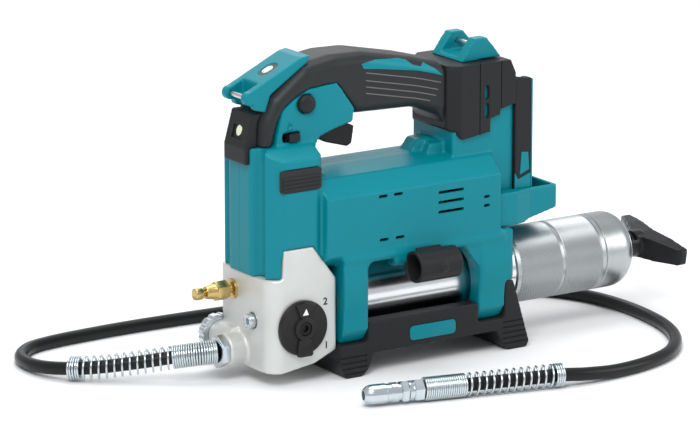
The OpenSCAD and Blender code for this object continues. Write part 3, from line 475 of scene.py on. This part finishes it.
def smooth_line(points, first, last, steps=8):
    """The curve's points from points[first] to points[last]."""
    line = [along(points, span, k / steps) for span in range(first, last) for k in range(steps)]
    return line + [Vector(points[last]) * MM]


def tube(name, line, radius, sides=4):
    """A round curve object along a line."""
    curve = bpy.data.curves.new(name, "CURVE")
    curve.dimensions = "3D"
    curve.bevel_depth, curve.bevel_resolution, curve.use_fill_caps = radius, sides, True
    spline = curve.splines.new("POLY")
    spline.points.add(len(line) - 1)
    for point, place in zip(spline.points, line):
        point.co = (*place, 1)
    piece = bpy.data.objects.new(name, curve)
    bpy.context.scene.collection.objects.link(piece)
    return piece


hose_line = smooth_line(HOSE_POINTS, 0, len(HOSE_POINTS) - 1)
hose_length = sum((b - a).length for a, b in zip(hose_line, hose_line[1:]))
hose = tube("hose_tube", hose_line, HOSE_RADIUS, sides=6)
hose.data.materials.append(black_rubber)
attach(hose, "frame")
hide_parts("hose")
print(f"hose {hose_length:.3f} m")

# %% [markdown]
# ## Anti-kink springs
# A spring of thick wire guards each end of the hose. Its coils lie tight against each other near the
# fitting, open out over the middle, and close again at the end. A helix that follows the hose's own line
# makes it: the turn at each place is read from how far along the line it is.

# %% Springs along the hose
WIRE = 0.85 * MM
GUARD_RADIUS = 9 * MM
TIGHT_SHARE, END_SHARE = 0.3, 0.07
OPEN_TURNS = 12


def coil(name, line, tight_first=True):
    """A spring guard round a line, with its long tight stretch at the first or the last end."""
    lengths = [0]
    for a, b in zip(line, line[1:]):
        lengths.append(lengths[-1] + (b - a).length)
    total = lengths[-1]
    tight = round(total * TIGHT_SHARE / (2 * WIRE))
    end = round(total * END_SHARE / (2 * WIRE))
    stretches = [(tight, 2 * WIRE * tight), (OPEN_TURNS, total - 2 * WIRE * (tight + end)),
                 (end, 2 * WIRE * end)]
    places, far, turn = [], 0, 0
    for turns, span in stretches if tight_first else stretches[::-1]:
        steps = turns * 20
        places += [(far + span * k / steps, turn + turns * k / steps) for k in range(steps)]
        far, turn = far + span, turn + turns
    wire, piece_at = [], 0
    side = Vector((0, 0, 1))
    for far, turn in places:
        while piece_at < len(line) - 2 and lengths[piece_at + 1] < far:
            piece_at += 1
        a, b = line[piece_at], line[piece_at + 1]
        way = (b - a).normalized()
        centre = a + way * (far - lengths[piece_at])
        across = way.cross(side).normalized()
        up = across.cross(way)
        angle = 2 * math.pi * turn
        wire.append(centre + (GUARD_RADIUS - WIRE) * (across * math.cos(angle) + up * math.sin(angle)))
    spring = tube(name, wire, WIRE, sides=2)
    spring.data.materials.append(zinc_steel)
    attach(spring, "frame")
    print(f"{name}: {turn:.0f} turns over {total / MM:.0f} mm")
    return spring


outlet_spring = coil("outlet_spring", smooth_line(HOSE_POINTS, 0, GUARD_SPANS))
coupler_spring = coil("coupler_spring", smooth_line(HOSE_POINTS, COUPLER_GUARD_FROM, len(HOSE_POINTS) - 1),
                      tight_first=False)
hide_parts("spring_guards")

# %% [markdown]
# ## Coupler
# The coupler is a turned steel fitting: a nut against the spring, a neck with a wrench collar, and a nose
# with two machined bands and a rounded, open tip. A profile of radius against length, spun round the axis,
# gives the turned parts, and six-sided rods the flats.

# %% Coupler
COUPLER_AT = Vector(HOSE_POINTS[-1])
COUPLER_WAY = Vector((math.cos(math.radians(167)), math.sin(math.radians(167)), 0))


def lathe(bm, profile, middle, way, steps=48):
    """Spins a closed profile of (length, radius) points, in millimetres, round an axis."""
    middle, way = Vector(middle) * MM, Vector(way).normalized()
    out = way.orthogonal().normalized()
    verts = [bm.verts.new(middle + (way * x + out * r) * MM) for x, r in profile]
    edges = [bm.edges.new((a, b)) for a, b in zip(verts, verts[1:] + verts[:1])]
    bmesh.ops.spin(bm, geom=verts + edges, cent=middle, axis=way, angle=2 * math.pi, steps=steps,
                   use_merge=True, use_duplicate=False)
    bmesh.ops.remove_doubles(bm, verts=bm.verts, dist=0.001 * MM)
    bmesh.ops.recalc_face_normals(bm, faces=bm.faces)


def coupler_part(name, profile, steps=48, stands_for=()):
    bm = bmesh.new()
    lathe(bm, profile, COUPLER_AT, COUPLER_WAY, steps)
    mesh = to_mesh(bm, name)
    mesh.set_sharp_from_angle(angle=math.radians(32))
    return keep(mesh, name, stands_for, zinc_steel, "frame", "chrome_plate")


NUT_PROFILE = [(0.1, 5.1), (0.1, 7.6), (0.9, 8.5), (7.2, 8.5), (8, 7.6), (8, 5.1)]
coupler_nut = coupler_part("coupler_nut", NUT_PROFILE,
                           steps=6, stands_for="coupler")
coupler_neck = coupler_part("coupler_neck", [
    (8.1, 0.5), (8.1, 7), (9, 7.4), (11.6, 7.4), (12, 6.9), (12, 0.5)])
coupler_collar = coupler_part("coupler_collar", [
    (12.1, 0.5), (12.1, 7.4), (12.8, 8.4), (17, 8.4), (18, 7.2), (18, 0.5)], steps=6)
coupler_nose = coupler_part("coupler_nose", [
    (18.1, 0.5), (18.1, 6.5), (20, 6.5), (20.4, 7.4), (25, 7.4), (25.5, 6.9), (29, 6.9), (29.5, 7.4),
    (38.5, 7.4), (41, 7.2), (43.5, 6.4), (44.8, 5.2), (45.6, 4.8), (46, 4.2), (46, 3.6), (44, 3.4),
    (31, 3.4), (31, 0.5)])
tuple(hose_line[0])

# %% [markdown]
# ## Housing halves
# The two halves are moulded shells, joined at the middle. They are remeshed as one body, so that every
# edge and inner corner gets the soft radius of a mould. The window's chamfered corners, the bulge of the
# arches and the block that carries the coupler holder are added first, so that they blend in. The vents
# would melt in the remesh, so they are filled before it and cut again after it. Last, the body is cut
# apart at the joint plane, which leaves the fine seam that runs round the gun.

# %% Housing
SEAM = 0.12
SIDE = 42.5
VENTS = ([(x, x + 8, 135) for x in (-52, -38.5)] + [(x, x + 8, 102) for x in (-51, -37)]
         + [(1, 24, z) for z in (116, 123.5, 131)] + [(42, 47.5, z) for z in (115.5, 122.3)])
PAD_LOW, PAD_HIGH, PAD_GAP = (-134.5, 147.4), (-99.5, 163.8), 0.7


def sided(side, inner, outer):
    """Y limits on one side of the joint plane, in rising order."""
    return sorted((side * inner, side * outer))


def half_room(side):
    """The room on one side of the joint plane, a hair short of it."""
    bm = bmesh.new()
    block(bm, (-300, -200 if side < 0 else SEAM, -50), (300, -SEAM if side < 0 else 200, 400))
    return bm


shell = merged("housing_left", "housing_right")
for side in (-1, 1):
    y0, y1 = sided(side, SIDE - 2.9, SIDE)
    for x0, x1, z in VENTS:
        block(shell, (x0 - 1, y0, z - 2), (x1 + 1, y1, z + 2))
    y0, y1 = sided(side, 29, SIDE)
    slab(shell, [(24, 87.5), (24, 94), (41, 94), (44, 42), (40, 62), (37.6, 69)], y0, y1)
    slab(shell, [(-63, 80), (-63, 94), (-56, 94), (-58, 86)], y0, y1)
    for x0, x1, foot in ((-82.5, -62, 32), (39, 61.5, 32), (61, 68, 57)):
        bulge = [(40, 95.5), (43.1, 88), (44.8, 70), (44.2, 57), (42.6, 44), (40, foot), (39, 57)]
        beam(shell, [(side * y, max(z, foot)) for y, z in bulge[:4] + bulge[4 if foot < 50 else 6:]], x0, x1)
    ledge = [(40, 95.5), (42.6, 94.6), (43.9, 90), (43.5, 86.6), (40, 86.2)]
    beam(shell, [(side * y, z) for y, z in ledge], -82.5, 61.5)
beam(shell, [(-35, 96), (-43.4, 95), (-43.6, 84), (-40, 79.5), (-31, 79.5), (-31, 88)], -37, -5)
slab(shell, [(-2, 150), (0, 157), (6, 164), (15, 165), (31, 160), (33, 150)], -8, 8)
for side in (-1, 1):
    rod(shell, (-92, side * 20.4, 190), (-92, side * 22, 190), 3.4, 24)
shell_mesh = moulded(shell, "housing", 1.25 * MM, 5)

cuts = bmesh.new()
for side in (-1, 1):
    y0, y1 = sided(side, SIDE - 6, SIDE + 6)
    for x0, x1, z in VENTS:
        pill(cuts, (x0, y0, z - 1.15), (x1, y1, z + 1.15), "Y", 1.1)
    y0, y1 = sided(side, 37.1, 42)
    pill(cuts, (PAD_LOW[0] - PAD_GAP, y0, PAD_LOW[1] - PAD_GAP),
         (PAD_HIGH[0] + PAD_GAP, y1, PAD_HIGH[1] + PAD_GAP), "Y", 2.6)
    corner = [(22, 21), (31, 29.5), (31, 33), (22, 33)]
    prism(cuts, [(x, side * y, 170.5) for x, y in corner], (0, 0, 50))
block(cuts, (-122, -31, 180.5), (-107.4, -17, 187.5))
shell_mesh = carve(shell_mesh, cuts)
for side, node in ((-1, "housing_left"), (1, "housing_right")):
    half = carve(shell_mesh.copy(), half_room(side), "INTERSECT")
    half.set_sharp_from_angle(angle=math.radians(38))
    keep(half, node.replace("housing", "shell"), node)

# %% [markdown]
# ## Pads and the lock mark
# A soft pad sits in a shallow recess on each flank of the column, with ribs for the thumb of the steadying
# hand. Above the lock slide a small closed-lock mark is raised from the plastic: a body and a shackle.

# %% Pads and lock mark
pads = bmesh.new()
for side in (-1, 1):
    y0, y1 = sided(side, 37, 38.9)
    pill(pads, (PAD_LOW[0], y0, PAD_LOW[1]), (PAD_HIGH[0], y1, PAD_HIGH[1]), "Y", 2.2)
    y0, y1 = sided(side, 38.7, 39.7)
    for k in range(4):
        pill(pads, (PAD_LOW[0] + 1.5, y0, PAD_LOW[1] + 1.4 + 2.8 * k),
             (PAD_HIGH[0] - 1.5, y1, PAD_LOW[1] + 2.9 + 2.8 * k), "X", 0.45, 2)
keep(to_mesh(pads, "pads", smooth=False), "pads_ribbed", "side_pads")

mark = bmesh.new()
pill(mark, (-117.6, -22.8, 188.4), (-114, -21.5, 192), "Y", 0.8)
lathe(mark, [(-0.4, 1), (-0.4, 1.7), (0.5, 1.7), (0.5, 1)], (-115.8, -22.2, 193.2), (0, -1, 0), 24)
keep(to_mesh(mark, "lock_mark"), "lock_mark", (), teal_plastic, "frame", "teal_plastic")

# %% [markdown]
# ## Grip
# The grip is a soft overmould on a hard core. Its skin swells where the palm sits, carries four thin raised
# ribs on each side, coloured light grey as a painted highlight, and a lens-shaped window shows the teal core
# above them. The window follows the skin exactly, because it is cut from a copy of the grip that has been
# blown up by a third of a millimetre.

# %% Grip, ribs and inlay
grip_solid = merged("handle_grip")
slab(grip_solid, [(0, 198.5), (10, 193), (17, 184), (21.5, 176), (23, 176), (23, 218), (8, 221)], -20, 20)
grip_mesh = moulded(grip_solid, "grip", 1.1 * MM, 26)
inlay_room = bmesh.new()
INLAY = [(-54, 231.5), (-41, 233), (-19, 231), (-13, 229.4), (-8, 225.2), (-1, 223.2), (2.4, 225.6),
         (11, 220.6), (18.6, 214.2), (8, 217.4), (-5, 220.8), (-19.3, 223), (-36, 225.6), (-52, 227.6)]
for side in (-1, 1):
    y0, y1 = sided(side, 12, 30)
    slab(inlay_room, INLAY, y0, y1)
blown = with_modifiers(grip_mesh.copy(), ("DISPLACE", {"strength": 0.35 * MM, "mid_level": 0}))
inlay = carve(blown, inlay_room, "INTERSECT")
inlay.set_sharp_from_angle(angle=math.radians(38))
keep(inlay, "grip_inlay", (), teal_plastic, "frame", "teal_plastic")
keep(grip_mesh, "grip", "handle_grip")


def grip_edge(x):
    """Height of the grip's upper edge at x, in millimetres."""
    return 239.5 - (x + 51) * 0.2065 if x < -5 else 230 - (x + 5) * 0.271


# Each rib is a raised tube in the light grey rubber, whose colour is a painted highlight.
for k, (drop, x1) in enumerate(((15, 16.5), (20.8, 14), (25.6, 12), (30.4, 7))):
    for side in (-1, 1):
        line = [Vector((x, side * 21.85, grip_edge(x) - drop)) * MM
                for x in (-50 + (x1 + 50) * step / 8 for step in range(9))]
        rib = tube(f"grip_rib_{k}_{'left' if side < 0 else 'right'}", line, 0.5 * MM, sides=2)
        rib.data.materials.append(rib_painted_highlight)
        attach(rib, "frame")

# %% [markdown]
# ## Covers, skid and guard
# These are plain mouldings, each remeshed and smoothed at its own size. Seams and foot ribs are cut
# afterwards, so that they stay sharp against the soft edges.


# %% Moulded covers
def seams(*boxes):
    """A cutter made of boxes on both sides of the joint plane: each is (x0, x1, inner, outer, z0, z1)."""
    bm = bmesh.new()
    for x0, x1, inner, outer, z0, z1 in boxes:
        for side in (-1, 1):
            y0, y1 = sided(side, inner, outer)
            block(bm, (x0, y0, z0), (x1, y1, z1))
    return bm


CUTS = {
    "rear_cover": seams((46, 46.8, 29.4, 32, 160, 226), (65.4, 66.1, 29.4, 32, 160, 226)),
    "base_skid": seams(*[(60, 92, 41.7, 44, 5 + 4.2 * k, 6.3 + 4.2 * k) for k in range(5)],
                       *[(-92, -62, 41.7, 44, 3 + 4.2 * k, 4.3 + 4.2 * k) for k in range(4)]),
}
for node, voxel, rounds in (("pump_head", 1.1, 7), ("base_skid", 1.2, 4), ("rear_cover", 1.0, 3),
                            ("battery_guard", 1.1, 3), ("battery_block", 0.9, 2), ("trigger", 0.7, 16),
                            ("coupler_holder", 0.8, 3), ("front_strap_bracket", 0.8, 4),
                            ("rear_strap_bracket", 0.8, 4)):
    solid = merged(node)
    if node == "rear_cover":
        for side in (-1, 1):
            wedge = [(21, 22.9), (29.8, 30.7), (31, 28.5), (25, 21.5)]
            prism(solid, [(x, side * y, 171.3) for x, y in wedge], (0, 0, 47))
    mesh = moulded(solid, node, voxel * MM, rounds)
    if node in CUTS:
        mesh = carve(mesh, CUTS[node])
        mesh.set_sharp_from_angle(angle=math.radians(38))
    keep(mesh, node + "_moulded", node)

inserts = bmesh.new()
for side in (-1, 1):
    y0, y1 = sided(side, 41.2, 43)
    pill(inserts, (-24, y0, 21), (17, y1, 32), "Y", 3.2)
keep(crisp(inserts, "inserts", 0.4, 60), "inserts_rounded", "skid_inserts")

# %% [markdown]
# ## Nose panel and work light
# The panel closes the front of the grip. A rectangular recess near its top holds the lens of the light.

# %% Nose panel
nose = moulded(merged("nose_panel"), "nose", 0.8 * MM, 2)
recess = bmesh.new()
block(recess, (-151, -7, 183.6), (-146, 7, 193.4), Matrix.Rotation(math.radians(16), 4, "Y"))
nose = carve(nose, recess)
nose.set_sharp_from_angle(angle=math.radians(38))
keep(nose, "nose_cut", "nose_panel")

# %% [markdown]
# ## Lock-off button
# A button with a slightly domed face goes right through the trigger housing.

# %% Lock-off button
button = bmesh.new()
lathe(button, [(-26, 0), (-26, 2.5), (-25.7, 5), (-24.9, 6.4), (-24, 6.95), (22, 6.95), (22, 0)],
      (-102, 0, 207.5), (0, 1, 0), 40)
button_mesh = to_mesh(button, "lock_off")
button_mesh.set_sharp_from_angle(angle=math.radians(50))
keep(button_mesh, "lock_off_domed", "lock_off_button")

# %% [markdown]
# ## Battery interface marks
# The foot of the block is teal, and so are a small slanted window in its side and the thin rim of the
# right-hand half, which stands up past the cover.

# %% Teal foot, windows and rim
trims = bmesh.new()
for side in (-1, 1):
    y0, y1 = sided(side, 29.6, 30.35)
    slab(trims, [(78.6, 109.2), (78.6, 133), (81.5, 128), (92.8, 132), (92.8, 109.2)], y0, y1)
    slab(trims, [(84.6, 149), (90.6, 148.2), (91.6, 135), (83.2, 131.6)], y0, y1)
    slab(trims, [(93.2, 109.2), (93.2, 204.6), (94.3, 204.2), (94.3, 109.2)], y0, y1)
slab(trims, [(56, 217), (56, 223), (75.4, 223), (80.8, 212.4), (94.3, 206.4), (94.3, 203), (79, 207),
             (73, 217)], 30.1, 31.3)
keep(to_mesh(trims, "teal_trims", smooth=False), "teal_trims", (), teal_plastic, "frame", "teal_plastic")

# %% [markdown]
# ## Speed dial
# The dial is a shallow disc with a raised finger bar that runs down to a tab at its rim. A white triangle on
# the bar points at the chosen speed, 1 or 2, printed on the head beside it.

# %% Dial
DIAL_X, DIAL_Z = -116.5, 44.5


def front_prism(bm, outline, y0, y1):
    """A prism whose outline is counted from the dial's centre."""
    return slab(bm, [(DIAL_X + x, DIAL_Z + z) for x, z in outline], y0, y1)


disc = bmesh.new()
lathe(disc, [(0.1, 0), (0.1, 20.2), (0.6, 20.7), (2.6, 20.7), (3.4, 19.6), (3.6, 8.8), (5.6, 8.4),
             (5.9, 7.8), (5.9, 5.3), (3, 5.3), (3, 0)], (DIAL_X, -38, DIAL_Z), (0, -1, 0), 72)
disc_mesh = to_mesh(disc, "dial_disc")
disc_mesh.set_sharp_from_angle(angle=math.radians(30))
keep(disc_mesh, "dial_disc", "selector_dial", dial_plastic)

bar = bmesh.new()
front_prism(bar, [(-7.5, 18.4), (-3.6, 8), (3.5, 8), (9.6, 17.2), (2, 19.6)], -43.6, -41.2)
front_prism(bar, [(-5.2, -8), (-6.6, -20.6), (-4, -21.4), (5.6, -21.4), (7, -20), (5.2, -8)], -43.6, -41.2)
keep(crisp(bar, "dial_bar", 0.7, 40, 3), "dial_bar", (), dial_plastic, "selector", "charcoal_plastic")
pointer = bmesh.new()
front_prism(pointer, [(-2.4, 10.4), (2.6, 10.4), (0.6, 15.2)], -43.75, -43.4)
keep(to_mesh(pointer, "dial_pointer", smooth=False), "dial_pointer", (), white_print, "selector",
     "white_plastic")

# %% [markdown]
# ## Speed numbers
# The two numbers are printed on the casting. Each is text with a little thickness, turned into a mesh before
# it is placed, because the export expects a mesh whose object sits at the origin.

# %% Speed numbers
for number, x, z in (("2", -97.8, 58.8), ("1", -97, 25.4)):
    words = bpy.data.curves.new("number_" + number, "FONT")
    words.body, words.size, words.extrude, words.offset = number, 7.6 * MM, 0.1 * MM, 0.16 * MM
    holder = bpy.data.objects.new("holder", words)
    bpy.context.scene.collection.objects.link(holder)
    printed = mesh_of(holder)
    printed.transform(Matrix.Translation(Vector((x, -38.05, z)) * MM) @ Matrix.Rotation(math.pi / 2, 4, "X"))
    keep(printed, "number_" + number, (), black_print, "frame", "black_plastic")

# %% [markdown]
# ## Barrel sleeve
# The sleeve is turned, then rolled with a diamond knurl on each side of a groove. A knurl is small real
# geometry: a fine grid wrapped round the barrel, with every second point pushed out.

# %% Knurled sleeve
BARREL_Z = 53
KNURL_PITCH = 1.5


def knurl(bm, x0, x1, low, high):
    """A knurled skin round the barrel's axis between two radii, in millimetres."""
    across = 2 * round(math.pi * 2 * high / (2 * KNURL_PITCH))
    rows = 2 * round((x1 - x0) / KNURL_PITCH)
    grid = bmesh.ops.create_grid(bm, x_segments=rows, y_segments=across, size=1)["verts"]
    for vert in grid:
        i, j = round((vert.co.x + 1) / 2 * rows), round((vert.co.y + 1) / 2 * across)
        end = i in (0, rows)
        radius = low - 0.2 if end else high if (i + j) % 2 == 0 else low
        angle = 2 * math.pi * j / across
        vert.co = Vector((x0 + (x1 - x0) * i / rows, radius * math.cos(angle),
                          BARREL_Z + radius * math.sin(angle))) * MM
    bmesh.ops.remove_doubles(bm, verts=bm.verts, dist=0.001 * MM)
    bmesh.ops.recalc_face_normals(bm, faces=bm.faces)


sleeve = bmesh.new()
lathe(sleeve, [(83, 28.2), (83, 28.9), (83.5, 29.4), (86.6, 29.4), (86.9, 29), (125.6, 29), (125.8, 28.6),
               (128.2, 28.6), (128.4, 29), (162.6, 29), (162.9, 29.4), (166.3, 29.4), (166.8, 28.8),
               (166.9, 28.2)], (0, 0, BARREL_Z), (1, 0, 0), 96)
sleeve_mesh = to_mesh(sleeve, "sleeve")
sleeve_mesh.set_sharp_from_angle(angle=math.radians(30))
keep(sleeve_mesh, "sleeve_turned", "barrel_sleeve", satin_aluminium)
for name, x0, x1 in (("front", 86.9, 125.6), ("rear", 128.4, 162.6)):
    skin = bmesh.new()
    knurl(skin, x0, x1, 29.05, 29.4)
    keep(to_mesh(skin, "knurl_" + name, smooth=False), "knurl_" + name, (), knurled_metal, "barrel",
         "satin_aluminium")

# %% [markdown]
# ## Domed cap
# The cap closes the barrel. It has the sleeve's radius and ends in a dome with a turned ring, so it is spun
# from one profile too, and the sleeve's groove marks the seam between them.

# %% Domed cap
cap = bmesh.new()
lathe(cap, [(0.1, 27), (0.1, 28.8), (0.7, 29.4), (15, 29.4), (18.5, 29.15), (21.5, 28.3), (24.2, 26.8),
            (26.4, 24.7), (27.2, 23.7), (27.7, 23.7), (28.6, 22), (29.5, 19.6), (29.95, 17), (30, 12),
            (30, 4.3), (8, 4.3), (8, 22)], (167, 0, BARREL_Z), (1, 0, 0), 96)
cap_mesh = to_mesh(cap, "cap")
cap_mesh.set_sharp_from_angle(angle=math.radians(35))
keep(cap_mesh, "cap_domed", "barrel_cap")

# %% [markdown]
# ## Follower spring
# Inside the barrel a long coil spring pushes the follower against the grease. The CAD draws it as a plain
# sleeve; here it is a real coil, which keeps its full length and rides with the barrel. Drawing the T-handle
# back squeezes the real spring against the cap.

# %% Follower spring
SPRING_X0, SPRING_X1, SPRING_RADIUS = -75.2, 174.2, 14
SPRING_TURNS, TURN_STEPS, DRAW = 28, 16, 200
spring_line = []
for step in range(SPRING_TURNS * TURN_STEPS + 1):
    around = 2 * math.pi * step / TURN_STEPS
    x = SPRING_X0 + (SPRING_X1 - SPRING_X0) * step / (SPRING_TURNS * TURN_STEPS)
    spring_line.append(Vector((x, SPRING_RADIUS * math.cos(around),
                               BARREL_Z + SPRING_RADIUS * math.sin(around))) * MM)
coil_mesh = mesh_of(tube("coil_curve", spring_line, 0.75 * MM, sides=2))
follower_coil = keep(coil_mesh, "follower_coil", "follower_spring", bright_steel, "barrel", "bright_steel")
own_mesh(follower_coil)

# %% [markdown]
# ## T-handle
# The rod ends in a black moulded handle: a round hub with two latch slots, and two flat-sided arms that
# taper and sweep back. Each arm is the convex hull of four rectangles, which keeps its sides flat.

# %% T-handle
TILT = Matrix.Translation((0, 0, BARREL_Z * MM)) @ Matrix.Rotation(math.radians(9), 4, "X")
handle = bmesh.new()
rod(handle, (199, 0, BARREL_Z), (219, 0, BARREL_Z), 10.4, 48)
for side in (-1, 1):
    corners = [(x, side * y, z) for x0, x1, y, z0, z1 in
               ((210, 231, 0, -9.5, 9.5), (219, 234.5, 20, -8.6, 8.6), (228, 236.6, 38, -6.4, 6.6),
                (230, 235, 40, -4.4, 4.6)) for x in (x0, x1) for z in (z0, z1)]
    verts = [bmesh.ops.create_vert(handle, co=TILT @ (Vector(corner) * MM))["vert"][0] for corner in corners]
    bmesh.ops.convex_hull(handle, input=verts)
handle_mesh = moulded(handle, "tee", 0.8 * MM, 4)
slots = bmesh.new()
for x in (202.5, 207.5):
    block(slots, (x, -9, 58), (x + 3.2, 9, 70))
handle_mesh = carve(handle_mesh, slots)
handle_mesh.set_sharp_from_angle(angle=math.radians(38))
keep(handle_mesh, "tee_sculpted", "tee_handle")

# %% [markdown]
# ## Trigger pin and button bezel
# The trigger turns on a pin that ends under the skin of the housing, so the pin is cut short. The bezel
# round the power button is a wide collar: its outer edge is moved outwards, and its opening stays as it is.

# %% Trigger pin and button bezel
pin_room = bmesh.new()
block(pin_room, (-110, -20, 170), (-70, 20, 210))
keep(carve(to_mesh(merged("trigger_pin"), "pin"), pin_room, "INTERSECT"), "pin_short", "trigger_pin")
bezel = merged("power_bezel")
middle = sum((v.co for v in bezel.verts), Vector()) / len(bezel.verts)
facing = Vector((-math.sin(math.radians(24.5)), 0, math.cos(math.radians(24.5))))
for vert in bezel.verts:
    offset = vert.co - middle
    along = offset.dot(facing) * facing
    if (offset - along).length > 5.1 * MM:
        vert.co = middle + along + (offset - along) * 1.33
keep(to_mesh(bezel, "bezel", smooth=False), "bezel_wide", "power_bezel")

# %% [markdown]
# ## Machined pieces
# Turned and milled pieces keep their flat faces. Only a fine bevel breaks their edges, which catches the
# light as a real machined edge does.

# %% Machined pieces
for node, width in (("bleeder_body", 0.35), ("bleeder_stem", 0.35), ("head_bolts", 0.4), ("outlet_nut", 0.6),
                    ("outlet_cap", 0.5), ("dial_screw", 0.4)):
    keep(crisp(merged(node), node, width), node + "_machined", node)
